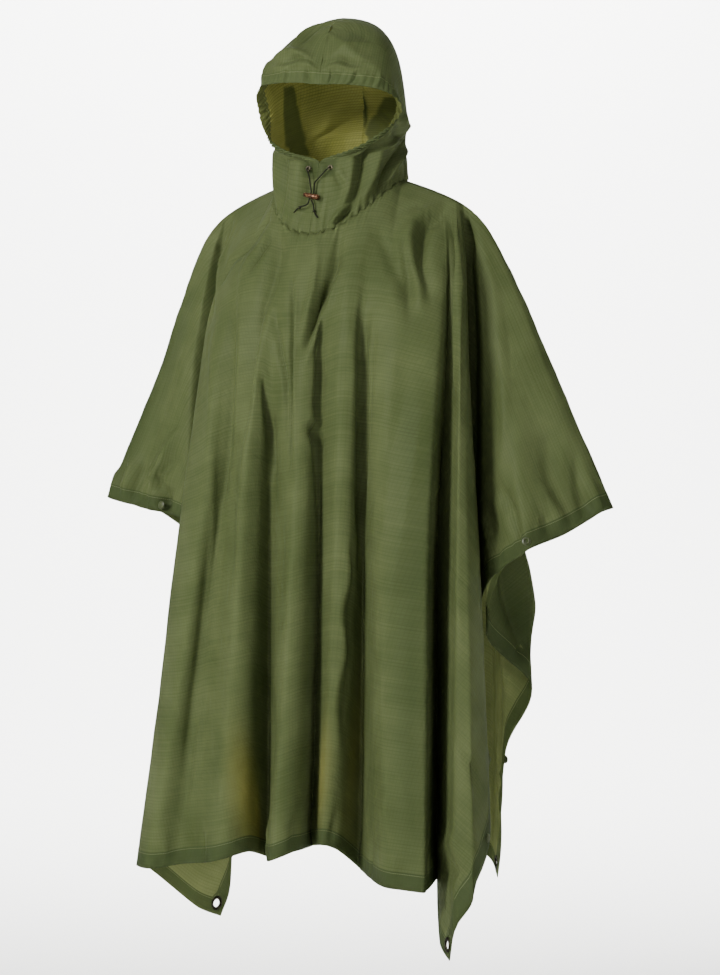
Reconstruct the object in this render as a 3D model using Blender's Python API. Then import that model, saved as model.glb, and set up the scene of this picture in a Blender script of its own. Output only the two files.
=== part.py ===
"""Hooded rain poncho, hanging as it is worn.

Metres, +Z up. The origin is on the body's axis, level with the foot of the neck.
The wearer faces -Y, and the wearer's left arm is on +X.

The body is one rectangular sheet with a hole for the neck. It is folded over the shoulders
and arms, and from there it falls in folds that fan out from each shoulder point. The solids
split it along that shoulder fold into a front and a back. Two D-shaped halves make the hood.
"""

import bmesh
import bpy
import numpy as np
from mathutils import Matrix, Vector
from mathutils.bvhtree import BVHTree

# ---------------------------------------------------------------- driving sizes

SHEET_WIDTH = 1.48  # cut size across the arms
SHEET_LENGTH = 2.12  # cut size from front hem to back hem
WALL = 0.0016
HEM_WIDTH = 0.025
HEM_RISE = 0.0009  # what the turned hem adds outside
SEAM_GAP = 0.0003
CHORD_ALLOWANCE = 0.0001  # for two round edges that are divided differently

NECK_HALF_WIDTH = 0.105
NECK_SEAM_RUN = 0.17  # along the neck seam, from its centre to the shoulder fold
NECK_SIDE_HEIGHT = 0.004
NECK_FRONT = (-0.105, -0.086)  # how far the seam's centre lies out, and how far up
NECK_BACK = (0.085, 0.016)
NECK_CUT_DEPTH = 0.11  # of the hole in the flat sheet, front and back
SHOULDER_FALL = 0.30  # slope of the shoulder fold where it leaves the neck
SHOULDER_BEND = 0.50  # and how fast it steepens towards the shoulder point

CHEST_HEIGHT = -0.27
CHEST_SHARE = 0.27  # of each fold's length, down to the chest

COLUMNS_PER_FOLD = 3
BODY_STATIONS = (0.0, 0.035, 0.08, 0.13, 0.19, 0.27, 0.42, 0.60, 0.80)
EDGE_STATIONS = (0.045, 0.0265, 0.025, 0.0)  # the last rows, by their distance from the edge

EYELET_INSET = 0.017
EYELET = dict(bore=0.0065, barrel=0.0074, flange=0.0115, rise=0.0010, hole=0.0077)
HOOD_EYELET = dict(bore=0.0018, barrel=0.0024, flange=0.0044, rise=0.0008, hole=0.0027)
SNAP_RADIUS = 0.0065
SNAP_RISE = 0.0024
SNAP_RUNS = (0.18, 0.842)  # along each side edge, from the shoulder fold

HOOD_ROWS_PER_KNOT = 3
HOOD_STATIONS = (0.0, 0.06, 0.13, 0.20, 0.28, 0.36, 0.45, 0.54, 0.63, 0.72, 0.81, 0.90, 1.0)
CASING_WIDTH = 0.020
CASING_RISE = 0.0008
HOOD_TURN = np.radians(5.0)  # the hood faces a little to the wearer's left above its throat
THROAT_HOOP = 2  # number of the hoop at the foot of the face opening
FACE_FLARE = dict(left=1.0, right=1.08)  # how wide the face edge stands on each side

CORD_RADIUS = 0.0010
TOGGLE_LENGTH = 0.026
TOGGLE_RADIUS = 0.0036  # at its wearer's-right end
TOGGLE_FLARE = 0.0046  # at its wearer's-left end
TOGGLE_PLACE = (0.0017, -0.027)  # X and Z of its middle
TOGGLE_TILT = -0.24  # how far its wearer's-left end hangs
TOGGLE_HEIGHT = 0.0066  # of its middle above the collar
TOGGLE_HOLES = dict(radius=0.0014, apart=0.0044)
KNOT_RADIUS = 0.0027

# Each row is a crest or a trough of the cloth, from the wearer's left arm to the right one.
# "top" runs along the neck seam and shoulder fold from their centre; the chest place is at
# CHEST_HEIGHT; the foot is on the sheet's edge. Rounding is 0 for a straight fall down to the
# chest and 1 for a quarter ellipse; bow carries the fall below it out (+) or in (-).
FOLD_COLUMNS = (
    "name", "top", "chest_x", "chest_y", "foot_x", "foot_y", "foot_z", "rounding", "bow",
)
FRONT_FOLDS = (
    ("arm_fold", 0.308, 0.348, 0.000, 0.455, 0.000, -0.503, 0.10, 0.0),
    ("arm_front", 0.304, 0.343, -0.014, 0.444, -0.018, -0.509, 0.16, 0.0),
    ("wing", 0.300, 0.318, -0.034, 0.400, -0.050, -0.541, 0.20, 0.0),
    ("wing_inner", 0.296, 0.294, -0.046, 0.352, -0.105, -0.570, 0.20, 0.0),
    ("wing_lip", 0.291, 0.265, -0.045, 0.266, -0.052, -0.632, 0.25, 0.1),
    ("side_trough", 0.287, 0.234, -0.008, 0.236, -0.018, -0.720, 0.30, 0.0),
    ("side_return", 0.283, 0.219, -0.020, 0.222, -0.034, -0.820, 0.35, 0.0),
    ("edge_return", 0.278, 0.242, -0.055, 0.288, -0.080, -0.940, 0.40, 0.3),
    ("edge_low", 0.274, 0.254, -0.088, 0.305, -0.122, -1.008, 0.45, 0.4),
    ("edge_turn", 0.271, 0.258, -0.106, 0.308, -0.178, -1.070, 0.45, 0.2),
    ("left_corner_side", 0.268, 0.258, -0.125, 0.282, -0.184, -1.116, 0.45, 0.0),
    ("left_corner", 0.265, 0.250, -0.117, 0.266, -0.170, -1.167, 0.45, 0.0),
    ("left_corner_hem", 0.261, 0.242, -0.110, 0.237, -0.140, -1.150, 0.45, 0.0),
    ("left_trough", 0.249, 0.208, -0.094, 0.196, -0.066, -1.062, 0.45, -0.2),
    ("left_crest", 0.233, 0.224, -0.158, 0.237, -0.196, -1.066, 0.45, -0.4),
    ("broad_crest", 0.196, 0.150, -0.168, 0.183, -0.202, -1.062, 0.45, -0.4),
    ("inner_trough", 0.130, 0.108, -0.131, 0.068, -0.069, -1.056, 0.45, -0.4),
    ("inner_shoulder", 0.108, 0.102, -0.155, 0.059, -0.134, -1.019, 0.45, -0.4),
    ("inner_crest", 0.090, 0.083, -0.164, 0.043, -0.149, -1.012, 0.45, -0.4),
    ("middle_trough", 0.054, 0.037, -0.138, 0.003, -0.106, -1.020, 0.45, -0.4),
    ("middle_shoulder", 0.038, 0.034, -0.160, 0.015, -0.176, -1.019, 0.45, -0.4),
    ("middle_crest", 0.018, 0.019, -0.174, -0.012, -0.208, -1.032, 0.45, -0.4),
    ("right_trough", -0.042, -0.049, -0.142, -0.092, -0.069, -1.047, 0.45, -0.4),
    ("right_shoulder", -0.064, -0.057, -0.159, -0.097, -0.130, -1.032, 0.45, -0.4),
    ("right_crest", -0.090, -0.069, -0.171, -0.135, -0.161, -1.045, 0.45, -0.4),
    ("outer_trough", -0.150, -0.122, -0.127, -0.228, -0.112, -1.061, 0.45, -0.4),
    ("outer_crest", -0.200, -0.142, -0.150, -0.272, -0.135, -1.068, 0.45, -0.4),
    ("right_turn", -0.240, -0.205, -0.108, -0.322, -0.080, -1.068, 0.45, -0.2),
    ("right_corner_hem", -0.257, -0.212, -0.062, -0.246, -0.022, -1.142, 0.40, 0.0),
    ("right_corner", -0.262, -0.208, -0.052, -0.231, 0.022, -1.160, 0.40, 0.0),
    ("right_corner_side", -0.266, -0.204, -0.042, -0.222, 0.038, -1.113, 0.40, 0.0),
    ("edge_low_right", -0.271, -0.200, -0.026, -0.212, 0.034, -0.980, 0.40, 0.0),
    ("edge_return_right", -0.277, -0.198, -0.010, -0.192, 0.036, -0.770, 0.35, 0.0),
    ("side_trough_right", -0.284, -0.222, -0.006, -0.236, -0.002, -0.640, 0.30, 0.0),
    ("wing_lip_right", -0.290, -0.250, -0.040, -0.252, -0.056, -0.526, 0.22, 0.0),
    ("wing_right", -0.298, -0.298, -0.032, -0.345, -0.038, -0.504, 0.18, 0.0),
    ("arm_front_right", -0.304, -0.318, -0.014, -0.420, -0.016, -0.487, 0.16, 0.0),
    ("arm_fold_right", -0.308, -0.323, 0.000, -0.4255, 0.000, -0.480, 0.15, 0.0),
)
BACK_FOLDS = (
    ("arm_fold", 0.308, 0.348, 0.000, 0.455, 0.000, -0.503, 0.10, 0.0),
    ("arm_back", 0.304, 0.336, 0.026, 0.428, 0.036, -0.500, 0.16, 0.0),
    ("wing", 0.300, 0.312, 0.058, 0.370, 0.085, -0.520, 0.20, 0.0),
    ("wing_lip", 0.296, 0.285, 0.075, 0.318, 0.112, -0.545, 0.22, 0.0),
    ("side_trough", 0.291, 0.258, 0.028, 0.268, 0.034, -0.585, 0.25, 0.0),
    ("side_return", 0.285, 0.236, 0.030, 0.242, 0.008, -0.690, 0.30, 0.0),
    ("edge_out", 0.278, 0.248, 0.066, 0.284, 0.090, -0.785, 0.35, 0.45),
    ("edge_in", 0.271, 0.231, 0.075, 0.238, 0.092, -0.884, 0.40, 0.0),
    ("left_corner_side", 0.266, 0.228, 0.087, 0.222, 0.109, -1.040, 0.45, 0.0),
    ("left_corner", 0.261, 0.221, 0.096, 0.208, 0.128, -1.084, 0.45, 0.0),
    ("left_corner_hem", 0.256, 0.214, 0.105, 0.181, 0.163, -1.061, 0.45, 0.0),
    ("left_trough", 0.240, 0.178, 0.082, 0.160, 0.112, -1.030, 0.45, -0.2),
    ("left_crest", 0.212, 0.150, 0.132, 0.143, 0.212, -1.032, 0.45, -0.4),
    ("inner_trough", 0.172, 0.108, 0.112, 0.090, 0.130, -1.018, 0.45, -0.4),
    ("inner_crest", 0.125, 0.070, 0.145, 0.056, 0.226, -1.020, 0.45, -0.4),
    ("middle_trough", 0.062, 0.030, 0.130, 0.012, 0.142, -1.010, 0.45, -0.4),
    ("middle_crest", 0.010, -0.004, 0.150, -0.024, 0.236, -1.016, 0.45, -0.4),
    ("right_trough", -0.050, -0.044, 0.130, -0.070, 0.140, -1.012, 0.45, -0.4),
    ("right_crest", -0.110, -0.080, 0.146, -0.108, 0.222, -1.022, 0.45, -0.4),
    ("far_trough", -0.165, -0.120, 0.112, -0.152, 0.122, -1.026, 0.45, -0.4),
    ("far_crest", -0.205, -0.160, 0.126, -0.202, 0.196, -1.036, 0.45, -0.4),
    ("outer_trough", -0.235, -0.190, 0.085, -0.238, 0.098, -1.036, 0.45, -0.2),
    ("right_corner_hem", -0.253, -0.210, 0.094, -0.264, 0.116, -1.079, 0.40, 0.0),
    ("right_corner", -0.258, -0.220, 0.099, -0.305, 0.140, -1.095, 0.40, 0.0),
    ("right_corner_side", -0.262, -0.229, 0.104, -0.319, 0.148, -1.048, 0.40, 0.0),
    ("edge_in_right", -0.268, -0.224, 0.076, -0.292, 0.092, -0.940, 0.40, 0.0),
    ("edge_out_right", -0.274, -0.240, 0.062, -0.300, 0.075, -0.800, 0.35, 0.3),
    ("side_return_right", -0.281, -0.223, 0.028, -0.235, 0.022, -0.690, 0.30, 0.0),
    ("side_trough_right", -0.287, -0.244, 0.024, -0.262, 0.030, -0.600, 0.25, 0.0),
    ("wing_lip_right", -0.294, -0.272, 0.068, -0.335, 0.108, -0.550, 0.20, 0.0),
    ("wing_right", -0.299, -0.294, 0.050, -0.380, 0.070, -0.508, 0.18, 0.0),
    ("arm_back_right", -0.304, -0.314, 0.028, -0.416, 0.030, -0.484, 0.16, 0.0),
    ("arm_fold_right", -0.308, -0.323, 0.000, -0.4255, 0.000, -0.480, 0.15, 0.0),
)
# Each row is a hoop of one hood half, from its front edge round the side to the seam in the
# middle of the back and crown. Its three places are the front edge, the side and the seam.
HOOD_COLUMNS = (
    "name", "front_x", "front_y", "front_z", "side_x", "side_y", "side_z", "seam_y", "seam_z",
)
HOOD_HOOPS = (
    ("neck_seam", 0.000, -0.105, -0.082, 0.105, 0.000, 0.004, 0.085, 0.020),
    ("collar", 0.000, -0.100, -0.040, 0.104, 0.000, 0.030, 0.086, 0.052),
    ("throat_top", 0.000, -0.090, 0.026, 0.102, -0.002, 0.056, 0.089, 0.084),
    ("chin", 0.055, -0.081, 0.046, 0.103, -0.006, 0.074, 0.092, 0.112),
    ("cheek", 0.092, -0.062, 0.072, 0.104, -0.008, 0.098, 0.091, 0.144),
    ("side", 0.117, -0.034, 0.108, 0.101, -0.010, 0.132, 0.085, 0.182),
    ("temple", 0.104, -0.054, 0.131, 0.097, -0.024, 0.182, 0.062, 0.238),
    ("brow", 0.062, -0.078, 0.143, 0.077, -0.047, 0.216, 0.020, 0.264),
    ("brow_inner", 0.026, -0.086, 0.146, 0.040, -0.068, 0.215, -0.030, 0.253),
    ("brim_centre", 0.000, -0.088, 0.146, 0.000, -0.083, 0.176, -0.064, 0.218),
)
# On the wearer's right the hood hangs slack, so its brim stands wider and higher there.
RIGHT_SLACK = dict(
    side=(0.000, 0.000, 0.002, 0.006, -0.006, 0.002, 0.000, 0.000),
    temple=(0.006, -0.013, 0.008, 0.014, -0.018, -0.010, 0.000, 0.000),
    brow=(0.026, -0.003, 0.009, 0.008, -0.014, -0.016, 0.000, 0.000),
    brow_inner=(0.020, 0.000, 0.006, 0.004, -0.008, -0.012, 0.000, 0.000),
)
# Where each end of the draw cord lies on the collar, from its eyelet down: X, Z and the height
# above the cloth. The toggle comes between the two lists of each end.
CORD_COLUMNS = ("x", "z", "height")
CORD_ROUTES = dict(
    right=(
        ((-0.0111, 0.0180, -0.0010), (-0.0111, 0.0180, 0.0020), (-0.0104, 0.0164, 0.0048),
         (-0.0082, 0.0118, 0.0062), (-0.0045, 0.0020, 0.0056), (-0.0018, -0.0090, 0.0060)),
        ((-0.0040, -0.0385, 0.0060), (-0.0105, -0.0410, 0.0048), (-0.0180, -0.0432, 0.0048),
         (-0.0255, -0.0462, 0.0034), (-0.0307, -0.0500, 0.0026)),
    ),
    left=(
        ((0.0259, 0.0180, -0.0010), (0.0259, 0.0180, 0.0020), (0.0248, 0.0166, 0.0048),
         (0.0215, 0.0126, 0.0062), (0.0125, 0.0026, 0.0056), (0.0052, -0.0085, 0.0060)),
        ((0.0048, -0.0400, 0.0060), (0.0052, -0.0440, 0.0050), (0.0066, -0.0500, 0.0048),
         (0.0090, -0.0560, 0.0034), (0.0122, -0.0600, 0.0026)),
    ),
)
KNOTS = dict(right=2, left=2)  # which place of the lower list carries the stopper knot

FRONT, BACK = -1, 1


# ---------------------------------------------------------------- smooth curves

def smooth_rows(knots, at, breaks=()):
    """Values between the rows of a table, with no overshoot at crests and troughs.

    Monotone cubic in the row's number. At a row in breaks the curve may turn sharply.
    """
    knots = np.asarray(knots, float)
    ends = sorted({0, len(knots) - 1, *breaks})
    values = np.empty((len(at), knots.shape[1]))
    for start, stop in zip(ends, ends[1:]):
        rise = np.diff(knots[start:stop + 1], axis=0)
        slope = np.vstack([rise[:1], rise[-1:]]) if len(rise) == 1 else None
        if slope is None:
            before, after = rise[:-1], rise[1:]
            product = before * after
            total = np.where(product > 0, before + after, 1.0)
            inner = np.where(product > 0, 2 * product / total, 0.0)
            slope = np.vstack([rise[:1], inner, rise[-1:]])
        here = (at >= start) & (at <= stop)
        row = np.minimum(np.floor(at[here]).astype(int), stop - 1) - start
        share = (at[here] - start - row)[:, None]
        low, high = knots[start + row], knots[start + row + 1]
        values[here] = (
            low * (1 + 2 * share) * (1 - share) ** 2
            + slope[row] * share * (1 - share) ** 2
            + high * share ** 2 * (3 - 2 * share)
            + slope[row + 1] * share ** 2 * (share - 1)
        )
    return values


def unit(vectors):
    return vectors / np.maximum(np.linalg.norm(vectors, axis=-1, keepdims=True), 1e-12)


def running_length(points):
    """How far along a line of points each of them lies."""
    steps = np.linalg.norm(np.diff(points, axis=0), axis=-1)
    return np.concatenate([np.zeros((1,) + steps.shape[1:]), np.cumsum(steps, axis=0)])


def grid_normals(points, outward):
    """Normals of a grid of points, longer where the cloth turns sharply, as a mitre is."""
    ahead, behind = points[1:, 1:] - points[:-1, :-1], points[1:, :-1] - points[:-1, 1:]
    facets = unit(np.cross(ahead, behind)) * outward
    total = np.zeros_like(points)
    count = np.zeros(points.shape[:2])
    places = [(rows, columns) for rows in (slice(1, None), slice(None, -1))
              for columns in (slice(1, None), slice(None, -1))]
    for place in places:
        total[place] += facets
        count[place] += 1
    return unit(total) * mitre(np.linalg.norm(total, axis=-1) / count)


def mitre(agreement):
    """How much longer than the wall's half thickness its offset is at a turn."""
    return (1 / np.clip(agreement, 0.6, 1.0))[..., None]


# ---------------------------------------------------------------- body sheet

def top_line(run, face):
    """Places on the sheet's neck seam and shoulder fold, and the same places on the flat cut."""
    side = np.sign(run)
    past_neck = np.maximum(np.abs(run) - NECK_SEAM_RUN, 0.0)
    angle = np.minimum(np.abs(run) / NECK_SEAM_RUN, 1.0) * np.pi / 2
    depth, rise = NECK_FRONT if face == FRONT else NECK_BACK
    lift = 1.5 if face == FRONT else 1.0
    out = np.cos(angle)
    place = np.stack([
        side * (NECK_HALF_WIDTH * np.sin(angle) + past_neck * 0.95),
        depth * out,
        NECK_SIDE_HEIGHT + rise * np.maximum(out, 0.0) ** lift
        - SHOULDER_FALL * past_neck - SHOULDER_BEND * past_neck ** 2,
    ], axis=-1)
    cut = np.stack([
        side * (NECK_HALF_WIDTH * np.sin(angle) + past_neck),
        face * NECK_CUT_DEPTH * out,
    ], axis=-1)
    return place, cut


def fold_line(top, chest, foot, shape, share):
    """The fall of the cloth from the top line over the chest to the foot, at the given shares."""
    upper = np.clip(share / CHEST_SHARE, 0.0, 1.0)[:, None, None]
    lower = np.clip((share - CHEST_SHARE) / (1 - CHEST_SHARE), 0.0, 1.0)[:, None, None]
    rounding, bow = shape[:, :1], shape[:, 1:]
    out = (1 - rounding) * upper + rounding * np.sin(upper * np.pi / 2)
    fall = (1 - rounding) * upper + rounding * (1 - np.cos(upper * np.pi / 2))
    sway = lower + bow * lower * (1 - lower)
    level = top[:, :2] + (chest[:, :2] - top[:, :2]) * out + (foot[:, :2] - chest[:, :2]) * sway
    height = top[:, 2:] + (chest[:, 2:] - top[:, 2:]) * fall + (foot[:, 2:] - chest[:, 2:]) * lower
    return np.concatenate([level, height], axis=-1)


def edge_cut(foot, corners, face):
    """Where each foot lies on the edge of the flat cut."""
    run = running_length(foot)
    first, last = corners
    half_width, half_length = SHEET_WIDTH / 2, SHEET_LENGTH / 2
    across = np.interp(run, run[[first, last]], (half_width, -half_width))
    along = np.interp(run, run[[0, first, last, -1]], (0.0, half_length, half_length, 0.0))
    return np.stack([across, face * along], axis=-1)


def sheet_half(folds, face, columns_per_fold, stations, from_edge):
    """Grid of points of one half of the sheet, its flat cut, and its two corners' columns."""
    names = [row[0] for row in folds]
    knots = np.array([row[1:] for row in folds])
    breaks = [names.index("left_corner"), names.index("right_corner")]
    corners = [number * columns_per_fold for number in breaks]
    at = np.linspace(0, len(folds) - 1, (len(folds) - 1) * columns_per_fold + 1)
    smooth = smooth_rows(knots, at)
    foot = smooth_rows(knots[:, 3:6], at, breaks)
    run = smooth[:, 0]
    for neck_end in (-NECK_SEAM_RUN, NECK_SEAM_RUN):
        run[np.abs(run - neck_end).argmin()] = neck_end
    top, top_cut = top_line(run, face)
    chest = np.column_stack([smooth[:, 1:3], np.full(len(at), CHEST_HEIGHT)])
    shape = smooth[:, 6:8]
    foot_cut = edge_cut(foot, corners, face)

    share = np.linspace(0, 1, 81)
    length = running_length(fold_line(top, chest, foot, shape, share))
    edge_rows = np.array([share_from_edge(top_cut, foot_cut, inside) for inside in from_edge])
    wanted = np.vstack([np.outer(stations, np.minimum(edge_rows[0], 1.0)), edge_rows])
    points = np.empty(wanted.shape + (3,))
    for column in range(len(at)):
        shares = np.interp(wanted[:, column] * length[-1, column], length[:, column], share)
        one = slice(column, column + 1)
        line = fold_line(top[one], chest[one], foot[one], shape[one], shares)
        points[:, column] = line[:, 0]
    cut = top_cut + (foot_cut - top_cut) * wanted[..., None]
    return points, cut, corners


def share_from_edge(top_cut, foot_cut, inside):
    """How far down each fold line it comes this close to the sheet's edge."""
    half = np.array([SHEET_WIDTH, SHEET_LENGTH]) / 2
    lacking = inside - (half - np.abs(foot_cut))
    travel = np.maximum(np.abs(foot_cut) - np.abs(top_cut), 1e-6)
    back = np.where(lacking > 0, lacking / travel, 0.0)
    return 1 - np.minimum(back.max(axis=-1), 0.2)


def corner_axes(folds, name):
    """A corner's place, and the directions of the hem and of the side edge away from it."""
    feet = {row[0]: np.array(row[4:7]) for row in folds}
    corner = feet[name]
    hem = unit(feet[f"{name}_hem"] - corner)
    edge = feet[f"{name}_side"] - corner
    return corner, hem, unit(edge - hem * (edge @ hem))


# ---------------------------------------------------------------- hood

def hood_knots(side):
    """Each hoop's three places on one half of the hood."""
    slack = RIGHT_SLACK if side == "right" else {}
    return np.array([np.add(row[1:], slack.get(row[0], 0.0)) for row in HOOD_HOOPS])


def hood_half(side, rows_per_knot, stations):
    """Grid of points of one hood half; side is "left" or "right" of the wearer."""
    knots = hood_knots(side)
    at = np.linspace(0, len(knots) - 1, (len(knots) - 1) * rows_per_knot + 1)
    hoops = smooth_rows(knots, at)
    dense = np.linspace(0, 1, 41)
    points = np.empty((len(at), len(stations) + 1, 3))
    for number, hoop in enumerate(hoops):
        arc = hood_hoop(hoop, dense, side)
        length = running_length(arc)
        casing = min(CASING_WIDTH / length[-1], 0.8)
        shares = np.concatenate([[0.0], casing + (1 - casing) * np.array(stations)])
        shares = np.interp(shares * length[-1], length, dense)
        points[number] = hood_hoop(hoop, shares, side)
    return points


def hood_hoop(hoop, share, side):
    """One hoop, as two quarter ellipses that meet at the side of the head."""
    front, flank, seam = hoop[0:3].copy(), hoop[3:6], np.array([0.0, hoop[6], hoop[7]])
    front[0] *= FACE_FLARE[side]
    ahead = np.clip(share / 0.4, 0.0, 1.0) * np.pi / 2
    behind = np.clip((share - 0.4) / 0.6, 0.0, 1.0) * np.pi / 2
    first = np.stack([
        front[0] + (flank[0] - front[0]) * np.sin(ahead),
        flank[1] + (front[1] - flank[1]) * np.cos(ahead),
        flank[2] + (front[2] - flank[2]) * np.cos(ahead) ** 1.5,
    ], axis=-1)
    second = np.stack([
        flank[0] * np.cos(behind),
        flank[1] + (seam[1] - flank[1]) * np.sin(behind),
        flank[2] + (seam[2] - flank[2]) * np.sin(behind),
    ], axis=-1)
    arc = np.where((share < 0.4)[:, None], first, second)
    arc[:, 0] *= 1 if side == "left" else -1
    return arc


def turned_hood(points):
    """Turns the hood to the side, hoop by hoop, from the neck seam up to the throat."""
    hoop = np.arange(len(points)) * (len(HOOD_HOOPS) - 1) / (len(points) - 1)
    share = np.clip(hoop / THROAT_HOOP, 0.0, 1.0)
    angle = (HOOD_TURN * share * share * (3 - 2 * share))[:, None]
    x, y, z = np.moveaxis(points, -1, 0)
    return np.stack([
        x * np.cos(angle) - y * np.sin(angle), x * np.sin(angle) + y * np.cos(angle), z,
    ], axis=-1)


# ---------------------------------------------------------------- solids

def material(name, colour, roughness, metallic=0.0):
    made = bpy.data.materials.new(name)
    made.use_nodes = True
    shader = made.node_tree.nodes["Principled BSDF"]
    shader.inputs["Base Color"].default_value = (*colour, 1.0)
    shader.inputs["Roughness"].default_value = roughness
    shader.inputs["Metallic"].default_value = metallic
    return made


def add_object(name, mesh, finish, smooth_angle=0.7):
    mesh.materials.append(finish)
    mesh.shade_smooth()
    mesh.set_sharp_from_angle(angle=smooth_angle)
    made = bpy.data.objects.new(name, mesh)
    bpy.context.scene.collection.objects.link(made)
    return made


def cloth_wall(name, points, normals, rise, finish, bend=None):
    """A closed wall round a grid of points, thicker on the outside where rise says so."""
    rows, columns = points.shape[:2]
    outer = points + normals * (WALL / 2 + rise)[..., None]
    inner = points - normals * (WALL / 2)
    if bend:
        outer, inner = bend(outer), bend(inner)
    mesh = bmesh.new()
    skins = [
        [[mesh.verts.new(place) for place in line] for line in skin.tolist()]
        for skin in (outer, inner)
    ]
    for row in range(rows - 1):
        for column in range(columns - 1):
            for skin, order in zip(skins, (1, -1)):
                corners = [
                    skin[row][column], skin[row + 1][column],
                    skin[row + 1][column + 1], skin[row][column + 1],
                ]
                mesh.faces.new(corners[::order])
    border = [(0, column) for column in range(columns)]
    border += [(row, columns - 1) for row in range(1, rows)]
    border += [(rows - 1, column) for column in range(columns - 2, -1, -1)]
    border += [(row, 0) for row in range(rows - 2, 0, -1)]
    for (r0, c0), (r1, c1) in zip(border, border[1:] + border[:1]):
        mesh.faces.new([skins[0][r0][c0], skins[0][r1][c1], skins[1][r1][c1], skins[1][r0][c0]])
    bmesh.ops.recalc_face_normals(mesh, faces=mesh.faces)
    made = bpy.data.meshes.new(name)
    mesh.to_mesh(made)
    mesh.free()
    return add_object(name, made, finish)


def turned_ring(name, profile, centre, axis, sides, finish):
    """A profile of (radius, height) points turned round an axis; radius 0 closes it as a pole."""
    mesh = bmesh.new()
    rings = []
    for radius, height in profile:
        if radius == 0:
            rings.append([mesh.verts.new((0, 0, height))])
            continue
        angles = np.arange(sides) * 2 * np.pi / sides
        rings.append([
            mesh.verts.new((radius * np.cos(angle), radius * np.sin(angle), height))
            for angle in angles
        ])
    closed = profile[0][0] > 0
    pairs = list(zip(rings, rings[1:])) + ([(rings[-1], rings[0])] if closed else [])
    for low, high in pairs:
        for number in range(sides):
            after = (number + 1) % sides
            if len(low) == 1:
                mesh.faces.new([low[0], high[number], high[after]])
            elif len(high) == 1:
                mesh.faces.new([low[number], low[after], high[0]])
            else:
                mesh.faces.new([low[number], low[after], high[after], high[number]])
    bmesh.ops.recalc_face_normals(mesh, faces=mesh.faces)
    turn = Vector(axis).to_track_quat("Z", "Y").to_matrix().to_4x4()
    mesh.transform(Matrix.Translation(centre) @ turn)
    made = bpy.data.meshes.new(name)
    mesh.to_mesh(made)
    mesh.free()
    return add_object(name, made, finish)


def eyelet(name, size, centre, normal, surface, sides, finish):
    """A pressed eyelet: a barrel through the cloth with a flange on each face."""
    above, below = cloth_heights(surface, centre, normal, size["flange"])
    top, foot = above + SEAM_GAP, -below - SEAM_GAP
    rise = size["rise"]
    profile = [
        (size["bore"], foot - rise * 0.6),
        (size["flange"] * 0.92, foot - rise * 0.8),
        (size["flange"], foot),
        (size["barrel"], foot),
        (size["barrel"], top),
        (size["flange"], top),
        (size["flange"] * 0.9, top + rise),
        (size["bore"], top + rise * 0.8),
    ]
    return turned_ring(name, profile, centre, normal, sides, finish)


def cut_hole(target, centre, axis, radius, name, depth=0.008):
    """A round hole through a solid, cut by a hidden cylinder."""
    cutter = turned_ring(
        name, [(0, -depth), (radius, -depth), (radius, depth), (0, depth)],
        centre, axis, 16, target.data.materials[0],
    )
    cutter.hide_render = True
    cutter.display_type = "WIRE"
    modifier = target.modifiers.new(name, "BOOLEAN")
    modifier.object = cutter
    modifier.solver = "EXACT"


def surface_of(*solids):
    """Something rays can be cast at, made of the solids' own meshes."""
    mesh = bmesh.new()
    for solid in solids:
        mesh.from_mesh(solid.data)
    tree = BVHTree.FromBMesh(mesh)
    mesh.free()
    return tree


def cloth_heights(surface, centre, normal, radius):
    """How far the cloth reaches above and below a disc's plane, within the disc's radius."""
    across = normal.orthogonal().normalized()
    highest, lowest = [], []
    for share in (0.0, 0.4, 0.75, 1.0):
        for number in range(24):
            turn = Matrix.Rotation(number * np.pi / 12, 3, normal)
            place = centre + turn @ across * (radius * share)
            above = surface.ray_cast(place + normal * 0.006, -normal, 0.012)[0]
            below = surface.ray_cast(place - normal * 0.006, normal, 0.012)[0]
            if above is not None:
                highest.append((above - centre) @ normal)
            if below is not None:
                lowest.append((below - centre) @ normal)
    return max(highest), -min(lowest)


def tube(name, route, radius, finish):
    """A cord along a smooth curve through its route's points."""
    knots = np.array(route)
    run = running_length(knots)
    dense = smooth_rows(knots, np.linspace(0, len(knots) - 1, 20 * len(knots)))
    dense_run = running_length(dense)
    count = max(int(dense_run[-1] / (radius * 4.6)), 8)
    wanted = np.linspace(0, dense_run[-1], count)
    places = np.stack([np.interp(wanted, dense_run, dense[:, axis]) for axis in range(3)], axis=-1)
    curve = bpy.data.curves.new(name, "CURVE")
    curve.dimensions = "3D"
    curve.bevel_depth = radius
    curve.bevel_resolution = 2
    curve.use_fill_caps = True
    spline = curve.splines.new("POLY")
    spline.points.add(len(places) - 1)
    for point, place in zip(spline.points, places):
        point.co = (*place, 1.0)
    curve.materials.append(finish)
    made = bpy.data.objects.new(name, curve)
    bpy.context.scene.collection.objects.link(made)
    return made


# ---------------------------------------------------------------- build

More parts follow.
